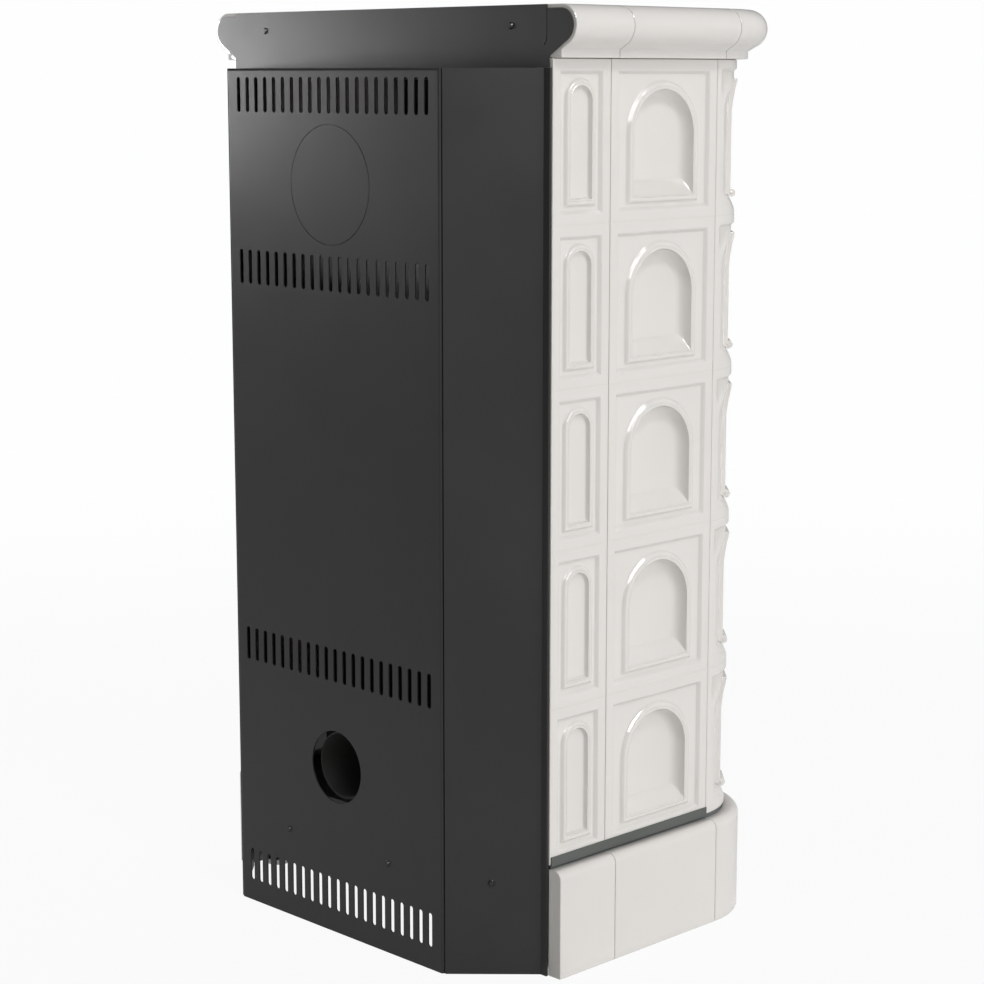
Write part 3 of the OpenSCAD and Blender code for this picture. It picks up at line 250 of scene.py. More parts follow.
def glaze_material(name, colours):
    """White gloss glaze: nearly even in colour, with painted shade that darkens it in the hollows and creases of
    the relief, thinner on its edges, with long soft waves in its surface and a few fine pinholes."""
    m = Mat(name, IOR=1.5, Coat_Weight=0.3, Coat_Roughness=0.03)
    edge = m.attribute("edge").clamp()
    deep = m.attribute("deep").clamp()
    cloud = m.noise(7.0, 2.0)
    speck = m.noise(480.0, 1.0)
    white = m.mix(cloud.step(0.3, 0.7) * 0.5, tuple(colours.glaze), tuple(0.97 * c for c in colours.glaze))
    worn = m.mix(edge * 0.5, white, tuple(colours.glaze_thin))
    # Painted shade: the deep attribute darkens the glaze in the relief's hollows and creases
    painted_shade = m.mix(deep * 0.45, worn, tuple(colours.glaze_painted_shade))
    m.base(m.mix(speck.step(0.74, 0.79) * 0.3, painted_shade, tuple(colours.glaze_thin)))
    m.rough(0.07 + 0.06 * cloud + 0.05 * edge)
    m.bump(m.noise(38.0, 1.0) * 0.8 + m.noise(190.0, 1.0) * 0.08, 0.0010, 0.22)
    return m.mat


def paint_material(name, colour, rough):
    """Stove paint sprayed on sheet steel: a fine grain, faint clouds and a few dull patches."""
    m = Mat(name, IOR=1.48, Specular_IOR_Level=0.42)
    cloud = m.noise(5.0, 3.0)
    smear = m.noise(16.0, 4.0, 0.6, (1.0, 1.0, 0.35))
    fine = m.noise(1400.0, 2.0)
    c = tuple(colour)
    tone = m.mix(cloud.step(0.35, 0.65), c, tuple(1.18 * v for v in c))
    m.base(m.mix(fine.step(0.55, 0.72) * 0.30, tone, tuple(1.5 * v + 0.004 for v in c)))
    m.rough((rough - 0.06) + 0.10 * cloud + 0.07 * smear)
    m.bump(fine, 0.0002, 0.35)
    return m.mat


def cast_material(name, colour):
    """Painted cast iron: a sandy skin under matt black."""
    m = Mat(name, IOR=1.45)
    sand = m.noise(900.0, 4.0, 0.7)
    cloud = m.noise(14.0, 3.0)
    m.base(m.mix(cloud.step(0.35, 0.7), tuple(colour), tuple(1.35 * v for v in colour)))
    m.rough(0.52 + 0.16 * cloud)
    m.bump(sand, 0.0004, 0.5)
    return m.mat


def plated_material(name, colour):
    """Brushed, zinc plated steel."""
    m = Mat(name, Metallic=1.0)
    brush = m.noise(60.0, 4.0, 0.6, (1.0, 1.0, 22.0))
    cloud = m.noise(22.0, 2.0)
    m.base(m.mix(cloud.step(0.3, 0.7), tuple(colour), tuple(0.82 * v for v in colour)))
    m.rough(0.24 + 0.22 * brush)
    m.bump(brush, 0.0002, 0.3)
    return m.mat


def brick_material(name, colour):
    """Dry pressed fire brick: sand coloured grog with dark and light specks."""
    m = Mat(name, IOR=1.4)
    grog = m.noise(320.0, 5.0, 0.75)
    cloud = m.noise(18.0, 3.0)
    dark = tuple(0.45 * v for v in colour)
    tone = m.mix(cloud.step(0.3, 0.7), tuple(colour), tuple(0.85 * v for v in colour))
    m.base(m.mix(grog.step(0.56, 0.70), tone, dark))
    m.rough(0.88 + 0.1 * cloud)
    m.bump(grog, 0.0008, 0.6)
    return m.mat


def rope_material(name, colour):
    """Glass fibre rope and tape: short pale fibres."""
    m = Mat(name, IOR=1.4)
    fibre = m.noise(700.0, 4.0, 0.7, (1.0, 1.0, 0.4))
    m.base(m.mix(fibre.step(0.35, 0.65), tuple(0.6 * v for v in colour), tuple(colour)))
    m.rough(0.93 - 0.05 * fibre)
    m.bump(fibre, 0.0008, 0.7)
    return m.mat


def glass_material(name):
    """Glass ceramic with a brown-grey cast and a faint film of soot."""
    m = Mat(name, IOR=1.5)
    film = m.noise(7.0, 4.0, 0.6)
    m.base(m.mix(film.step(0.35, 0.7), (0.012, 0.012, 0.012), (0.045, 0.040, 0.034)))
    m.rough(0.03 + 0.10 * film.step(0.4, 0.75))
    m.put(m.shader, "Alpha", 0.50 + 0.25 * film.step(0.4, 0.8))
    return m.mat


# Meshes from arrays

def add_mesh(name, parts, material, body, replaced=()):
    """Makes one object from parts, each a tuple of points in mm, a list of face arrays and values of the edge
    attribute, which marks thin glaze, and of the deep attribute, which marks painted shade, and sets it on a body.
    The faces of one array have the same number of corners."""
    verts, loops, counts, edge, deep, start = [], [], [], [], [], 0
    for points, faces, edges, painted_shades in parts:
        points = np.asarray(points, float).reshape(-1, 3)
        verts.append(points * MM)
        for f in outward(points, faces):
            loops.append((f + start).ravel())
            counts.append(np.full(len(f), f.shape[1]))
        edge.append(np.broadcast_to(edges, len(points)))
        deep.append(np.broadcast_to(painted_shades, len(points)))
        start += len(points)
    verts, loops, counts = np.concatenate(verts), np.concatenate(loops), np.concatenate(counts)
    mesh = bpy.data.meshes.new(name)
    mesh.vertices.add(len(verts))
    mesh.vertices.foreach_set("co", verts.astype(np.float32).ravel())
    mesh.loops.add(len(loops))
    mesh.loops.foreach_set("vertex_index", loops.astype(np.int32))
    mesh.polygons.add(len(counts))
    mesh.polygons.foreach_set("loop_start", (np.cumsum(counts) - counts).astype(np.int32))
    mesh.polygons.foreach_set("loop_total", counts.astype(np.int32))
    mesh.polygons.foreach_set("use_smooth", np.full(len(counts), True))
    mesh.update(calc_edges=True)
    for key, values in (("edge", edge), ("deep", deep)):
        mesh.attributes.new(key, "FLOAT", "POINT").data.foreach_set(
            "value", np.concatenate(values).astype(np.float32))
    mesh.validate()
    mesh.materials.append(material)
    obj = bpy.data.objects.new(name, mesh)
    bpy.context.scene.collection.objects.link(obj)
    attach(obj, body)
    if replaced:
        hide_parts(*replaced)
    return obj


def outward(points, faces):
    """The faces of a closed shell, turned round if its volume, the sum of the tetrahedra that its triangles span
    with the origin, is negative."""
    volume = sum((np.cross(points[f[:, 1:-1]], points[f[:, 2:]]) * points[f[:, :1]]).sum() for f in faces)
    return faces if volume > 0 else [f[:, ::-1] for f in faces]


def grid_faces(rows, cols, wrap=False):
    """Four-cornered faces of a grid of points stored row by row, with each row closed round where wrapped."""
    i = np.arange(rows - 1)[:, None]
    j = np.arange(cols if wrap else cols - 1)[None, :]
    j1 = (j + 1) % cols
    faces = np.stack([i * cols + j, i * cols + j1, (i + 1) * cols + j1, (i + 1) * cols + j], -1)
    return faces.reshape(-1, 4)


def rim_of(rows, cols):
    """Indices of a grid's outer points, once round."""
    a = np.arange(rows * cols).reshape(rows, cols)
    return np.concatenate([a[0, :-1], a[:-1, -1], a[-1, :0:-1], a[:0:-1, 0]])


def shell(rings, edge=0.0, deep=0.0):
    """One closed shell from rings of matched points, with a flat face inside the first and the last ring.
    Each ring runs clockwise as seen from the side of the first one. edge and deep have a value for each ring."""
    rings = np.asarray(rings, float)
    k, n = rings.shape[:2]
    faces = [grid_faces(k, n, True), np.arange(n)[None, ::-1], np.arange(n)[None] + (k - 1) * n]
    edge, deep = [np.repeat(np.broadcast_to(x, k), n) for x in (edge, deep)]
    return rings.reshape(-1, 3), faces, edge, deep


def soft(height):
    """Evens a grid of heights: each becomes a 1-2-1 mean both ways."""
    p = np.pad(height, 1, mode="edge")
    p = (p[:-2] + 2 * p[1:-1] + p[2:]) / 4
    return (p[:, :-2] + 2 * p[:, 1:-1] + p[:, 2:]) / 4


def turned(a, b, n):
    """n angles in radians from a to b degrees."""
    return np.radians(np.linspace(a, b, n))


def ramp(x, soften=0.12):
    """Rises from 0 to 1 as x goes from 0 to 1, with both corners rounded by soften."""
    return 0.5 * (1 + np.sqrt(x * x + soften ** 2) - np.sqrt((x - 1) ** 2 + soften ** 2))


def smooth_max(a, b, k):
    """The larger of two heights, with the crease between them filled over a width k."""
    return 0.5 * (a + b + np.sqrt((a - b) ** 2 + k * k))


def moved(parts, place):
    """The same parts with their points passed through place."""
    return [(place(np.asarray(points, float)), *rest) for points, *rest in parts]


def other_side(parts):
    """The parts' mirror images on the other side of the stove."""
    return moved(parts, lambda p: p * np.array([-1, 1, 1]))


# Flat tiles. In a tile's own place x runs to the right of its middle, y back into the wall and z up.
RIM_DEEP = 1.25
SILL_Z = 34.0
# Share of the thin glaze colour and of the painted shade on the hidden sides and backs of the tiles
BACK_TONE = 0.8

def arch_loops(rho, foot, bend, spring, counts):
    """Loops round an arch on legs, one for each radius rho: from the left end of the foot up the left leg, over
    the head by half a circle, down the right leg and back along the foot. foot is the height of the lower edge,
    and bend the radius of the two lower corners."""
    arc, leg, base = counts
    rho, foot, bend = [np.asarray(x, float)[:, None] for x in (rho, foot, bend)]
    a = turned(270, 180, 5)[None]
    t = np.linspace(0, 1, leg + 2)[None, 1:-1]
    x = np.concatenate([bend - rho + bend * np.cos(a), -rho + 0 * t], 1)
    z = np.concatenate([foot + bend + bend * np.sin(a), foot + bend + (spring - foot - bend) * t], 1)
    a = turned(180, 0, arc + 1)[None]
    b = np.linspace(1, -1, base + 2)[None, 1:-1]
    return (np.concatenate([x, rho * np.cos(a), -x[:, ::-1], (rho - bend) * b], 1),
            np.concatenate([z, spring + rho * np.sin(a), z[:, ::-1], foot + 0 * b], 1))


def border_loops(inset, w, h, x, z, counts):
    """Rectangular loops drawn in from a tile's edge by inset. Their points share out each side as those of the
    arch loop x, z do, with the rectangle's corners at its lower corners and at 45 degrees over its head."""
    arc, leg, base = counts
    n = len(x)
    i = np.arange(n)
    a, b, c, d = 2, 5 + leg + arc // 4, 5 + leg + 3 * arc // 4, n - base - 3
    up = (z - z[a]) / (z[b] - z[a])
    over = (x - x[b]) / (x[c] - x[b])
    along = (x - x[a]) / (x[d] - x[a])
    left, top, right = (i >= a) & (i <= b), (i > b) & (i < c), (i >= c) & (i <= d)
    p = np.select([left, top, right], [0 * x, over, 0 * x + 1], along)
    q = np.select([left, top, right], [up, 0 * x + 1, up], 0 * x)
    inset = np.asarray(inset, float)[:, None]
    return (2 * p[None] - 1) * (w / 2 - inset), inset + q[None] * (h - 2 * inset)


def tile_shell(w, thick, sizes, spring, counts, loops, hollow=None):
    """A closed flat tile: the arch loops given as rho, foot, bend, depth, edge and deep, from the middle of its
    front outwards, then the field, the sloping and the flat border, the rounded outer edge, the sides and the
    back, with a hollow down to a depth where one is given."""
    rho, foot, bend, depth, edge, deep = loops
    x, z = arch_loops(rho, foot, bend, spring, counts)
    slope = np.array([20.4, 20.2, 19.6, 18.9, 18.2, 17.3, 16.4, 15.7, 15.0, 14.4, 14.2, 12.5, 9.0, 4.0])
    t = np.clip((slope - 14.4) / 5.8, 0, 1)
    r, fine = sizes.edge, turned(90, 0, 5)
    inset = np.concatenate([slope, r * (1 - np.cos(fine)), [0.0, 0.0, 0.3, 1.0]])
    level = np.concatenate([sizes.field * t * t * (3 - 2 * t), r * (1 - np.sin(fine)),
                            [8.0, thick - 1.0, thick - 0.3, thick]])
    if hollow:
        inset = np.concatenate([inset, [11.2, 12.0, 12.0, 13.0]])
        level = np.concatenate([level, [thick, thick - 0.8, hollow + 1.0, hollow]])
    bx, bz = border_loops(inset, w, TILE_H, x[-1], z[-1], counts)
    # Two loops between the arch and the border keep the flat field's faces short
    t = np.array([0.35, 0.7])[:, None]
    x = np.concatenate([x, x[-1:] * (1 - t) + bx[:1] * t, bx])
    z = np.concatenate([z, z[-1:] * (1 - t) + bz[:1] * t, bz])
    y = np.concatenate([depth, [sizes.field] * 2, level])
    behind = np.full(len(inset) - len(slope) - len(fine), BACK_TONE)
    # Painted shade in the crease at the foot of the border's slope; the edge values mark thin glaze on the rounded
    # outer edge
    edge = np.concatenate([edge, np.zeros(15), [0.1, 0.3, 0.6, 0.9, 1.0, 1.0], behind])
    deep = np.concatenate([deep, [0, 0, 0.2, 0.5, 0.9, 0.6, 0.3], np.zeros(14), behind])
    return [shell(np.stack([x, np.broadcast_to(y[:, None], x.shape), z], -1), edge, deep)]


def moulding(width, field):
    """Distances from the rim, depths and attribute values of a moulding: a small half elliptic bead, a groove, a
    roll of a circular curve, and a slope that hollows out into the field. It is drawn for a width of 13.5."""
    b, c = turned(12, 168, 7), turned(-32, 51, 12)
    tail = np.array([[10.7, 3.08], [11.4, 3.92], [12.0, 4.45], [12.6, 4.76], [13.3, 4.93], [14.2, 4.99],
                     [15.5, 5.0]])
    s = np.concatenate([[0.0], 1.25 - 1.25 * np.cos(b), [2.72], 6.0 + 5.0 * np.sin(c), tail[:, 0]])
    d = np.concatenate([[RIM_DEEP], 0.95 - 0.5 * np.sin(b), [0.98], 0.22 + 5.0 * (1 - np.cos(c)), tail[:, 1]])
    edge = np.concatenate([[0.3], 0.6 * np.sin(b) ** 4, [0.0], 0.2 * np.cos(c) ** 8, np.zeros(7)])
    # Painted shade in the groove behind the bead and in the hollow where the slope meets the field
    deep = np.concatenate([np.zeros(7), [0.3, 0.6, 0.3], np.zeros(11), [0.2, 0.5, 0.8, 0.7, 0.4, 0.1, 0.0]])
    return s * width / 13.5, np.where(d > 1.4, d * field / 5.0, d), edge, deep


def full_tile(sizes):
    """A full tile: a niche with coved sides and a sill that slopes out to the rim, inside a broad moulding.
    Each loop of the niche lies at one depth: its legs and head follow a quarter ellipse, its foot the sill."""
    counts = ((96, 8, 10))
    spring, rim, cove, width = 118.0, 61.5, 11.0, 13.5
    a = np.concatenate([turned(90, 10, 13), turned(7, 2, 2)])
    reach = sizes.niche - RIM_DEEP
    d = RIM_DEEP + reach * np.sin(a)
    s, level, worn, painted_shade = moulding(width, sizes.field)
    rho = np.concatenate([[20.0, 47.0, 49.6], rim - cove * (1 - np.cos(a)), rim + s])
    foot = np.concatenate([[81.0, 58.0, 55.8], SILL_Z + 21.0 * np.sin(a), SILL_Z - 0.74 * s])
    bend = np.concatenate([[2.0, 2.6, 3.0], 1.2 + 2.0 * np.sin(a), np.full(len(s), 1.0)])
    depth = np.concatenate([[sizes.niche] * 3, d, level])
    edge = np.concatenate([np.zeros(2 + len(d)), [0.5], worn])
    # Painted shade on the niche's floor and at the deep end of its cove
    deep = np.concatenate([[0, 0, 0.3], 0.4 * np.sin(a) ** 6, painted_shade])
    return tile_shell(TILE_W, TILE_T, sizes, spring, counts, (rho, foot, bend, depth, edge, deep))


def half_tile(sizes):
    """A half tile: a flat panel below the field, inside a narrow arched moulding, and a hollow back."""
    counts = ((48, 14, 6))
    spring, rim, width = 164.5, 20.5, 11.0
    s, level, worn, painted_shade = moulding(width, sizes.field)
    inward = np.array([10.0, 5.0, 3.4, 2.6, 1.9, 1.3, 0.8, 0.4, 0.15])
    rise = np.array([0.0, 0.0, 0.01, 0.03, 0.11, 0.29, 0.52, 0.75, 0.9])
    depth = sizes.field + 2.0 - rise * (sizes.field + 2.0 - RIM_DEEP)
    # The last list is painted shade in the crease round the sunken panel, then along the moulding
    loops = (np.concatenate([rim - inward, rim + s]), np.concatenate([SILL_Z + inward, SILL_Z - 0.9 * s]),
             np.full(len(inward) + len(s), 0.9), np.concatenate([depth, level]),
             np.concatenate([0 * inward, worn]), np.concatenate([[0, 0.1, 0.4, 0.8, 0.8, 0.4, 0.2, 0, 0], painted_shade]))
    return tile_shell(HALF_W, TILE_T, sizes, spring, counts, loops, hollow=16.0)


def on_left(tile, middle, k):
    """A tile in row k of the left wall, with its middle at a distance from the casing."""
    return moved(grown(tile, k), lambda p: np.stack(
        [-WALL_X + p[:, 1], END_Y - middle - p[:, 0], BASE_Z + k * PITCH + p[:, 2]], -1))


def on_front(tile, x, k):
    """A tile in row k of the front, with its middle at x."""
    return moved(grown(tile, k), lambda p: p + np.array([x, FRONT_Y, BASE_Z + k * PITCH]))


def grown(tile, k):
    """A tile for row k: all but the top one reach a little past the joint above them, which closes it."""
    grow = 1 + (JOINT + 0.9) / TILE_H if k < ROWS - 1 else 1.0
    return moved(tile, lambda p: p * np.array([1, 1, grow]))


# Corner tiles, drawn in the first quadrant about the ring's axis
FIELD_DEEP = 13.0
FIELD_HALF = math.radians(37)
FIELD_SAG = CORNER_R * (1 - math.cos(FIELD_HALF)) - FIELD_DEEP
FIELD_R = ((CORNER_R * math.sin(FIELD_HALF)) ** 2 + FIELD_SAG ** 2) / (2 * FIELD_SAG)
FIELD_AXIS = CORNER_R - FIELD_DEEP - FIELD_R
NECK_DEEP = 4.4
NECK_HALF = math.radians(39.5)
TILE_HALF = math.radians(45)
CONSOLE_HALF = 25.0
ROLL_R = 5.9
ROLL_X = CORNER_R - 6.7
ROLL_Z = 31.8


def field_depth(v):
    """Depth of the field on the tile's middle line at height v: full from 31 to 144, rising above that as the
    square of the height to the neck, and below it as the power 1.25 of the height to nothing at the foot."""
    above = np.clip((v - (TILE_H - 76)) / 49.0, 0, None)
    foot = np.clip((v - 8.0) / 23.0, 0, 1) ** 1.25
    return FIELD_DEEP * foot - 9.6 * above ** 2 - 0.5 * np.clip(8.0 - v, 0, None)


def field_edge(deep):
    """Half the angle that the field spans where it is deep on the middle line."""
    radius = FIELD_R + FIELD_DEEP - np.clip(deep, 0.02, None)
    c = (CORNER_R ** 2 + FIELD_AXIS ** 2 - radius ** 2) / (2 * CORNER_R * FIELD_AXIS)
    return np.arccos(np.clip(c, -1, 1))


def corner_relief(a, v, edge):
    """Depth of a corner tile's face, a being the angle from its middle: a field whose floor has a flatter curve
    than the tile, a neck that deepens as a half cosine to a sharp block above, and rounded outer edges."""
    radius = FIELD_R + FIELD_DEEP - field_depth(v)
    rho = FIELD_AXIS * np.cos(a) + np.sqrt(np.clip(radius ** 2 - (FIELD_AXIS * np.sin(a)) ** 2, 0, None))
    fade = np.clip((v - (TILE_H - 62)) / 32.0, 0, 1)
    neck = NECK_DEEP * 0.5 * (1 - np.cos(math.pi * fade)) * ramp((TILE_H - 12.4 - v) / 3.4, 0.2)
    neck = neck * ramp((NECK_HALF + math.radians(0.8) - np.abs(a)) * CORNER_R / 7.0, 0.35)
    field = np.where(v < TILE_H - 22, CORNER_R - rho, -4.0)
    swell = -0.5 * np.exp(-((v - (TILE_H - 8)) / 4.0) ** 2) - 0.4 * np.exp(-((v - 9.0) / 4.0) ** 2)
    blend = 0.9 + 2.6 * np.exp(-((v - 15.0) / 9.0) ** 2) + 1.2 * np.exp(-((v - 175.0) / 20.0) ** 2)
    d = smooth_max(smooth_max(field, swell, blend), neck, 0.8) - 0.12
    e = np.minimum(np.minimum(v, TILE_H - v), (TILE_HALF - np.abs(a)) * CORNER_R)
    t = np.clip(1 - e / edge, 0, 1)
    return d + edge * (1 - np.sqrt(np.clip(1 - t * t, 0, 1)))


def corner_shell(sizes):
    """One corner tile as a closed shell. The columns of its face gather along the field's edge and the neck's
    ends, and the rows where the profile turns."""
    fine = 1.0
    r, h = sizes.edge, TILE_H
    rim = np.array([0, 0.12, 0.4, 1.0]) * r

    def spread(a, b, step):
        return np.linspace(a, b, max(2, int(round(abs(b - a) / (step * fine))) + 1))

    v = np.unique(np.round(np.concatenate([
        rim, spread(r, 12, 1.2), spread(12, 32, 1.6), spread(32, h - 80, 5), spread(h - 80, h - 60, 2.5),
        spread(h - 60, h - 18, 1.6), spread(h - 18, h - 12, 0.5), spread(h - 12, h - r, 1.4), h - rim]), 3))
    inner = np.maximum(field_edge(field_depth(v)), math.radians(13.8))[:, None]
    outer = np.maximum(NECK_HALF, inner + math.radians(1.6))
    middle = spread(0, 0.93, 0.034)[None] * inner
    crease = inner + np.radians([[-0.9, -0.55, -0.25, 0, 0.25, 0.6]])
    ends = outer + np.radians([[-0.55, -0.35, -0.1, 0.15, 0.4]])
    gap = crease[:, -1:] + (ends[:, :1] - crease[:, -1:]) * np.array([[0.25, 0.5, 0.75]])
    flat = ends[:, -1:] + (TILE_HALF - r / CORNER_R - ends[:, -1:]) * np.linspace(0, 1, 7)[None, 1:]
    last = TILE_HALF - rim[::-1][None, 1:] / CORNER_R + 0 * inner
    half = np.concatenate([middle, crease, gap, ends, flat, last], 1)
    a = np.concatenate([-half[:, :0:-1], half], 1)
    v = np.broadcast_to(v[:, None], a.shape)
    d = corner_relief(a, v, r)
    # Painted shade where the face lies deeper than its smoothed surroundings; thin glaze where it stands proud
    near = soft(soft(d))
    deep, edge = np.clip((d - near) / 0.25, 0, 1), np.clip((near - d) / 0.25, 0, 1)
    rows, cols = a.shape
    ring = rim_of(rows, cols)
    n, start = len(ring), rows * cols

    def bent(rho, turn, z):
        return np.stack([rho * np.cos(turn + TILE_HALF), rho * np.sin(turn + TILE_HALF), z + 0 * rho], -1)

    ra, rv = a.ravel()[ring], v.ravel()[ring]
    points = np.concatenate([bent(CORNER_R - d.ravel(), a.ravel(), v.ravel()),
                             bent(np.full(n, CORNER_R - 8.0), ra, rv), bent(np.full(n, CORNER_R - 34.5), ra, rv)])
    walls = np.concatenate([ring, np.arange(2 * n) + start])[grid_faces(3, n, True)[:, ::-1]]
    # The inner face runs in strips from the bottom edge to the top one, with one many-cornered face at each side
    back = start + n
    up = cols + rows - 2
    j = np.arange(1, cols - 2)
    strips = np.stack([j, up + cols - 1 - j, up + cols - 2 - j, j + 1], -1) + back
    left = np.concatenate([[1], np.arange(up + cols - 2, n), [0]])[None, ::-1] + back
    right = np.arange(cols - 2, up + 2)[None, ::-1] + back
    behind = np.full(2 * n, BACK_TONE)
    return (points, [grid_faces(rows, cols), walls, strips, left, right],
            np.concatenate([edge.ravel(), behind]), np.concatenate([deep.ravel(), behind]))


def console_outline():
    """Outline of the scroll console seen from the side, as distance from the ring's axis and height: a roll at
    the foot, a straight front, a swell that leans out as the height to the power 1.6, and a rounded tip."""
    front = CORNER_R - 8.0
    low, top = TILE_H - 76.0, TILE_H - 28.6
    a = turned(-150, 102.5, 30)
    t = np.linspace(0, 1, 22)
    b = turned(-20, 100, 9)
    return np.concatenate([
        np.stack([ROLL_X + ROLL_R * np.cos(a), ROLL_Z + ROLL_R * np.sin(a)], -1),
        np.stack([np.full(16, front), np.linspace(ROLL_Z + 6.6, low - 4, 16)], -1),
        np.stack([front + (CORNER_R - 0.6 - front) * t ** 1.6, low + (top - low) * t], -1),
        np.stack([CORNER_R - 2.3 + 1.8 * np.cos(b), top + 0.7 + 1.8 * np.sin(b)], -1),
        [[CORNER_R - 26.0, top + 1.5], [CORNER_R - 26.0, ROLL_Z - 4]]])


def sweep(outline, stations, place):
    """A closed outline carried through stations, each a position and how far the outline is drawn in there, and
    closed by a flat face at both ends. The outline turns anticlockwise, and place puts it into space."""
    tangent = np.roll(outline, -1, 0) - np.roll(outline, 1, 0)
    tangent /= np.linalg.norm(tangent, axis=1)[:, None] + 1e-9
    inward = np.stack([-tangent[:, 1], tangent[:, 0]], -1)
    rings = np.stack([place(outline + inward * draw, s) for s, draw in stations])
    return [shell(rings, 0.1)]


def end_stations(a, b, r, inner=()):
    """Stations from a to b whose ends are rounded with radius r: the drawing-in follows a quarter circle."""
    t = np.array([0.0, 0.1, 0.35, 0.65, 1.0])
    draw = r * (1 - np.sqrt(1 - (1 - t) ** 2))
    return [*zip(a + t * r, draw), *[(s, 0.0) for s in inner], *zip((b - t * r)[::-1], draw[::-1])]


def corner_tile(sizes):
    """A corner tile, its console, and the eye on each side of the console's roll."""
    out = np.array([math.cos(TILE_HALF), math.sin(TILE_HALF), 0])
    across, high = np.array([-out[1], out[0], 0]), np.array([0, 0, 1.0])

    def place(o, s):
        return o[:, :1] * out + s * across + o[:, 1:] * high

    stations = end_stations(-CONSOLE_HALF, CONSOLE_HALF, 1.0)
    flat = [(-CONSOLE_HALF, 1.6), *stations, (CONSOLE_HALF, 1.6)]
    parts = [corner_shell(sizes)] + sweep(console_outline(), flat, place)
    a = turned(0, 342, 20)[None]
    radius = np.array([0.7, 1.3, 1.8, 2.2, 2.45, 2.5, 2.5])[:, None]
    stand = np.array([1.55, 1.45, 1.2, 0.8, 0.35, 0.0, -1.5])[:, None] + CONSOLE_HALF
    level = (ROLL_X + radius * np.cos(a))[..., None] * out + (ROLL_Z - radius * np.sin(a))[..., None] * high
    # The eyes carry a little thin glaze and a faint painted shade
    parts += [shell(level + (side * stand)[..., None] * across, 0.2, 0.1) for side in (-1, 1)]
    return parts


def at_left_corner(tile, k):
    """A corner tile in row k of the left corner."""
    axis = np.array([-CORNER_X, CORNER_Y, BASE_Z + k * PITCH])
    return moved(grown(tile, k), lambda p: p * np.array([-1, -1, 1]) + axis)


# Plinth and cornice

def arc_points(cx, cy, r, a0, a1, n):
    """n points on a circle from a0 to a1 degrees."""
    a = turned(a0, a1, n)
    return np.stack([cx + r * np.cos(a), cy + r * np.sin(a)], -1)


def cornice_outline():
    """Outline of a cornice tile: p is the distance out from the wall's face, z is up. A fillet, a sloping
    neck, a bull nose, and the hollow inside, which is closed at the back."""
    r, cx, cz = 27.0, 15.5, CORNICE_H - 27.0
    neck = [[-27.0, 0.0], [14.4, 0.0], [15.2, 0.4], [15.5, 1.2], [15.5, 9.6], [15.9, 10.6], [17.0, 11.6]]
    nose = arc_points(cx, cz, r, -58, 90, 46)
    top = np.array([[8.0, 0.0], [-10.0, 0.0], [-27.2, 0.0], [-28.0, -0.8], [-28.0, -11.2], [-27.2, -12.0]])
    inside = arc_points(cx, cz, 15.0, 90, -50, 18)
    low = np.array([[3.5, 12.0], [-27.2, 12.0], [-28.0, 11.2], [-28.0, 0.8]])
    return np.concatenate([neck, nose, top + [0, CORNICE_H], inside, low])


def plinth_outline():
    """Outline of a plinth tile: a slab with a rounded top edge."""
    p0, p1, r = PLINTH_OUT - 24.0, PLINTH_OUT, 12.0
    low = [[p0 + 0.8, 0.0], [p1 - 1.5, 0.0], [p1 - 0.4, 0.4], [p1, 1.5]]
    side = np.stack([np.full(5, p1), np.linspace(12, PLINTH_H - r - 6, 5)], -1)
    nose = arc_points(p1 - r, PLINTH_H - r, r, 0, 90, 16)
    back = [[p0 + 0.8, PLINTH_H], [p0, PLINTH_H - 0.8], [p0, 0.8]]
    return np.concatenate([low, side, nose, back])


TILE_END_R = 1.4
TURN_R = CORNER_R + 20


def straight(outline, a, b, place):
    """A straight run from a to b, with rounded ends."""
    inner = np.linspace(a + TILE_END_R, b - TILE_END_R, 6)[1:-1]
    return sweep(outline, end_stations(a, b, TILE_END_R, inner), place)


def run_left(outline, y0, y1, z):
    """A straight run on the left wall from y0 to y1."""
    return straight(outline, y0, y1, lambda o, s: np.stack(
        [-WALL_X - o[:, 0], np.full(len(o), s), z + o[:, 1]], -1))


def run_front(outline, x0, x1, z):
    """A straight run along the front from x0 to x1."""
    return straight(outline, x0, x1, lambda o, s: np.stack(
        [np.full(len(o), s), FRONT_Y - o[:, 0], z + o[:, 1]], -1))


def run_corner(outline, z):
    """A quarter turn round the left front corner, with its ends rounded at the radius TURN_R."""
    m = TILE_END_R / TURN_R
    inner = np.linspace(m, math.pi / 2 - m, 40)[1:-1]

    def place(o, s):
        rho = CORNER_R + o[:, 0]
        return np.stack([-CORNER_X - rho * math.cos(s), CORNER_Y - rho * math.sin(s), z + o[:, 1]], -1)

    return sweep(outline, [(s, d * TURN_R) for s, d in end_stations(0, math.pi / 2, m, inner)], place)


MATERIALS = {}


def material(key, make, *args, **kw):
    """A material by name, made once."""
    if key not in MATERIALS:
        MATERIALS[key] = make(key, *args, **kw)
    return MATERIALS[key]


def settings():
    scene = bpy.context.scene
    return scene.stove_sizes, scene.stove_colours


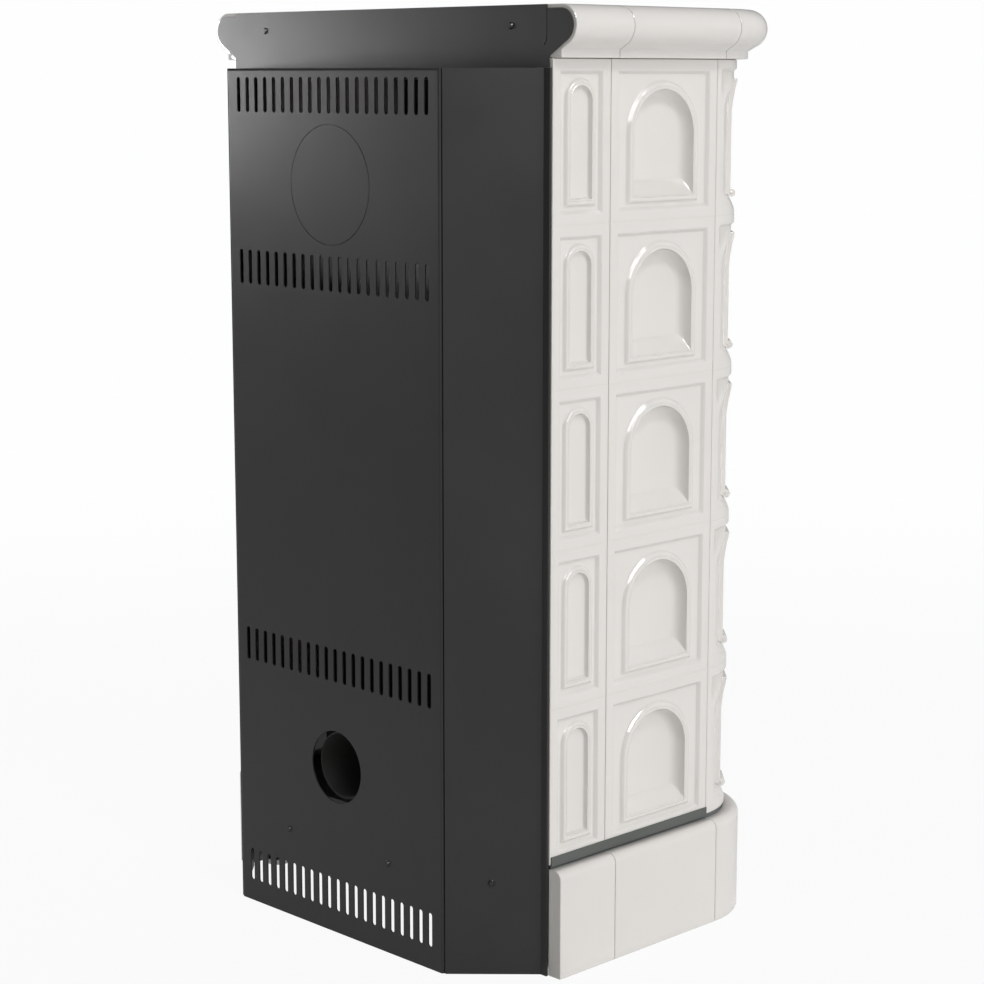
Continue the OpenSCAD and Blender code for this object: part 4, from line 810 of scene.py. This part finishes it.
class STOVE_OT_finishes(Operator):
    """Give every node of the frame its painted, plated, cast, brick, rope or glass finish"""

    bl_idname = "stove.finishes"
    bl_label = "Finishes"

    def execute(self, context):
        _, colours = settings()
        by_slot = {
            "black_steel": material("stove_paint", paint_material, colours.paint, rough=0.35),
            "dark_steel": material("ledge_paint", paint_material, colours.strip, rough=0.5),
            "screw_steel": material("blackened_screws", paint_material, linear(40, 40, 40), rough=0.35),
            "wall_glaze": material("wall_glaze", glaze_material, colours),
            "plinth_glaze": material("plinth_glaze", glaze_material, colours),
            "rope": material("glass_rope", rope_material, linear(150, 146, 136)),
            "frame_steel": material("frame_primer", paint_material, linear(96, 98, 100), rough=0.55),
            "plated_steel": material("plated_steel", plated_material, (0.56, 0.56, 0.57)),
            "box_steel": material("firebox_paint", paint_material, linear(62, 62, 60), rough=0.6),
            "firebrick": material("firebrick", brick_material, linear(196, 168, 128)),
            "cast_iron": material("cast_iron", cast_material, linear(44, 44, 46)),
            "smoked_glass": material("stove_glass", glass_material),
        }
        slots = {s["node"]: s["material_slot"] for s in frame["record"]["subparts"]}
        for name, obj in frame["nodes"].items():
            obj.data.materials.clear()
            obj.data.materials.append(by_slot[slots[name]])
        return {"FINISHED"}


class STOVE_OT_full_tiles(Operator):
    """Model the full tiles of the side walls and the front, with their arched niches"""

    bl_idname = "stove.full_tiles"
    bl_label = "Full tiles"

    def execute(self, context):
        sizes, colours = settings()
        glaze = material("wall_glaze", glaze_material, colours)
        tile = full_tile(sizes)
        middle = HALF_W + JOINT + TILE_W / 2
        left = sum([on_left(tile, middle, k) for k in range(ROWS)], [])
        add_mesh("side_niche_tiles_left", left, glaze, "stove", ["full_tiles_left"])
        add_mesh("side_niche_tiles_right", other_side(left), glaze, "stove", ["full_tiles_right"])
        places = (-(TILE_W + JOINT) / 2, (TILE_W + JOINT) / 2)
        low = sum([on_front(tile, x, 0) for x in places], [])
        high = sum([on_front(tile, x, k) for k in (3, 4) for x in places], [])
        add_mesh("front_niche_tiles_low", low, glaze, "stove")
        add_mesh("front_niche_tiles_high", high, glaze, "stove", ["front_tiles"])
        return {"FINISHED"}


class STOVE_OT_half_tiles(Operator):
    """Model the narrow tiles beside the casing"""

    bl_idname = "stove.half_tiles"
    bl_label = "Half tiles"

    def execute(self, context):
        sizes, colours = settings()
        glaze = material("wall_glaze", glaze_material, colours)
        tile = half_tile(sizes)
        left = sum([on_left(tile, HALF_W / 2, k) for k in range(ROWS)], [])
        add_mesh("narrow_tiles_left", left, glaze, "stove", ["half_tiles_left"])
        add_mesh("narrow_tiles_right", other_side(left), glaze, "stove", ["half_tiles_right"])
        return {"FINISHED"}


class STOVE_OT_corner_tiles(Operator):
    """Model the rounded corner tiles with their scroll consoles"""

    bl_idname = "stove.corner_tiles"
    bl_label = "Corner tiles"

    def execute(self, context):
        sizes, colours = settings()
        glaze = material("wall_glaze", glaze_material, colours)
        tile = corner_tile(sizes)
        left = sum([at_left_corner(tile, k) for k in range(ROWS)], [])
        add_mesh("scroll_tiles_left", left, glaze, "stove", ["corner_tiles_left"])
        add_mesh("scroll_tiles_right", other_side(left), glaze, "stove", ["corner_tiles_right"])
        return {"FINISHED"}


class STOVE_OT_plinth_and_cornice(Operator):
    """Model the plinth tiles and the cornice tiles with rounded ends"""

    bl_idname = "stove.plinth_and_cornice"
    bl_label = "Plinth and cornice"

    def execute(self, context):
        _, colours = settings()
        glaze = material("wall_glaze", glaze_material, colours)
        plinth_glaze = material("plinth_glaze", glaze_material, colours)
        cut = END_Y - HALF_W - JOINT
        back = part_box("cornice_side_tiles")[1].y / MM
        c, p = cornice_outline(), plinth_outline()
        sides = run_left(c, cut + JOINT, back, CORNICE_Z) + run_left(c, CORNER_Y + JOINT, cut, CORNICE_Z)
        add_mesh("cornice_sides", sides + other_side(sides), glaze, "stove", ["cornice_side_tiles"])
        turn = run_corner(c, CORNICE_Z)
        add_mesh("cornice_corners", turn + other_side(turn), glaze, "stove", ["cornice_corner_tiles"])
        front = run_front(c, -CORNER_X + JOINT, -JOINT / 2, CORNICE_Z)
        add_mesh("cornice_front", front + other_side(front), glaze, "stove", ["cornice_front_tiles"])
        sides = run_left(p, cut + JOINT, END_Y, 0) + run_left(p, CORNER_Y + JOINT, cut, 0)
        add_mesh("plinth_sides", sides + other_side(sides), plinth_glaze, "stove",
                 ["plinth_side_tiles"])
        turn = run_corner(p, 0)
        add_mesh("plinth_corners", turn + other_side(turn), plinth_glaze, "stove",
                 ["plinth_corner_tiles"])
        front = run_front(p, -CORNER_X + JOINT, -JOINT / 2, 0)
        add_mesh("plinth_front", front + other_side(front), plinth_glaze, "stove",
                 ["plinth_front_tiles"])
        return {"FINISHED"}


def area_light(name, place, target, size, power, mirrored=True, along=(0, 0, 1)):
    """A rectangular lamp at a place, facing a target, with its second side along a direction. Glossy surfaces
    mirror it or not."""
    data = bpy.data.lights.new(name, "AREA")
    data.shape = "RECTANGLE"
    data.size, data.size_y = size
    data.energy = power
    obj = bpy.data.objects.new(name, data)
    obj.visible_glossy = mirrored
    obj.location = place
    z = (Vector(place) - Vector(target)).normalized()
    x = Vector(along).cross(z).normalized()
    obj.rotation_euler = Matrix((x, z.cross(x), z)).transposed().to_euler()
    bpy.context.scene.collection.objects.link(obj)
    return obj


class STOVE_OT_stage(Operator):
    """Set the pale floor, the studio light and the camera at the photograph's angle"""

    bl_idname = "stove.stage"
    bl_label = "Stage"

    def execute(self, context):
        scene = bpy.context.scene
        mesh = bpy.data.meshes.new("floor")
        s = 40.0
        mesh.from_pydata([(-s, -s, 0), (s, -s, 0), (s, s, 0), (-s, s, 0)], [], [(0, 1, 2, 3)])
        floor = bpy.data.objects.new("floor", mesh)
        floor.location.z = -0.0005
        scene.collection.objects.link(floor)
        m = Mat("pale_floor", Base_Color=(0.74, 0.74, 0.73), Roughness=0.9, Specular_IOR_Level=0.1)
        path = m.tree.nodes.new("ShaderNodeLightPath")
        away = m.node("ShaderNodeVectorMath", {"operation": "LENGTH"}, {0: m.place}, out=1).step(0.9, 4.0)
        straight = Val(m, path.outputs["Is Camera Ray"]) + Val(m, path.outputs["Is Transmission Ray"])
        seen = straight.clamp() * (0.94 + 0.06 * away) + 0.4 * Val(m, path.outputs["Is Glossy Ray"])
        glow = m.node("ShaderNodeEmission", {}, {"Color": WHITE, "Strength": 1.0})
        mixed = m.node("ShaderNodeMixShader", {}, {0: seen.clamp(), 1: m.shader.outputs[0], 2: glow})
        m.tree.links.new(mixed.socket, m.out.inputs["Surface"])
        mesh.materials.append(m.mat)

        world = bpy.data.worlds.new("studio")
        scene.world = world
        world.use_nodes = True
        n = Nodes(world.node_tree)
        out = n.tree.nodes.new("ShaderNodeOutputWorld")
        # Soft light that is strongest from the left front and from above
        way = n.tree.nodes.new("ShaderNodeTexCoord").outputs["Generated"]
        facing = n.node("ShaderNodeVectorMath", {"operation": "DOT_PRODUCT"},
                        {0: way, 1: (-0.74, -0.62, 0.25)}, out=1)
        soft_light = n.node("ShaderNodeBackground", {}, {
            "Color": (1.0, 0.995, 0.985), "Strength": 0.10 + 0.63 * facing.step(-0.45, 1.0)})
        white = n.node("ShaderNodeBackground", {}, {"Color": WHITE, "Strength": 1.0})
        path = n.tree.nodes.new("ShaderNodeLightPath")
        seen = Val(n, path.outputs["Is Camera Ray"]) + Val(n, path.outputs["Is Transmission Ray"])
        mixed = n.node("ShaderNodeMixShader", {}, {0: seen.clamp(), 1: soft_light, 2: white})
        n.tree.links.new(mixed.socket, out.inputs["Surface"])

        area_light("key_high", (-2.25, 0.72, 3.25), (-0.33, 0.0, 0.75), (0.5, 0.5), 23)
        area_light("low_left", (-3.2, -0.2, 0.3), (-0.3, 0.0, 1.3), (1.4, 0.5), 33, mirrored=False)
        area_light("panel_glow", (1.36, 0.80, 1.27), (0.22, 0.3, 1.2), (0.35, 0.35), 8)
        area_light("right_soft", (3.4, -2.6, 2.2), (0.2, 0, 0.7), (2.2, 2.2), 36, mirrored=False)
        # Only mirrored: it draws the long highlights on the arches
        strip = area_light("key_strip", (-2.3, 0.63, 3.2), (-0.33, 0.0, 0.85), (0.16, 3.4), 190,
                           along=(0.268, -0.83, 0.488))
        strip.visible_diffuse = False

        cam = bpy.data.cameras.new("photo_view")
        cam.sensor_width = 36.0
        cam.lens = 86.10
        cam.clip_end = 200
        obj = bpy.data.objects.new("photo_view", cam)
        obj.location = (-2.517989, 2.440957, 1.243224)
        view = Vector((0.703893, -0.688648, -0.174065))
        obj.rotation_euler = view.to_track_quat("-Z", "Y").to_euler()
        scene.collection.objects.link(obj)
        scene.camera = obj
        scene.view_settings.view_transform = "Standard"
        return {"FINISHED"}


class STOVE_PT_panel(Panel):
    """Lists the stove's pieces in the sidebar"""

    bl_label = "Tiled corner stove"
    bl_space_type = "VIEW_3D"
    bl_region_type = "UI"
    bl_category = "Stove"

    def draw(self, context):
        sizes, colours = settings()
        for group in (sizes, colours):
            box = self.layout.box()
            for key in group.__annotations__:
                box.prop(group, key)
        for op in OPERATORS:
            self.layout.operator(op.bl_idname)


OPERATORS = (STOVE_OT_finishes, STOVE_OT_full_tiles, STOVE_OT_half_tiles, STOVE_OT_corner_tiles,
             STOVE_OT_plinth_and_cornice, STOVE_OT_stage)
CLASSES = (StoveColours, StoveSizes, *OPERATORS, STOVE_PT_panel)


def register():
    for c in CLASSES:
        bpy.utils.register_class(c)
    bpy.types.Scene.stove_sizes = PointerProperty(type=StoveSizes)
    bpy.types.Scene.stove_colours = PointerProperty(type=StoveColours)


def unregister():
    del bpy.types.Scene.stove_colours
    del bpy.types.Scene.stove_sizes
    for c in reversed(CLASSES):
        bpy.utils.unregister_class(c)


def main():
    """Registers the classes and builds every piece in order."""
    register()
    for op in OPERATORS:
        group, name = op.bl_idname.split(".")
        if getattr(getattr(bpy.ops, group), name)() != {"FINISHED"}:
            raise RuntimeError(f"{op.bl_label} didn't finish")
    bpy.context.view_layer.update()


if __name__ == "__main__":
    main()
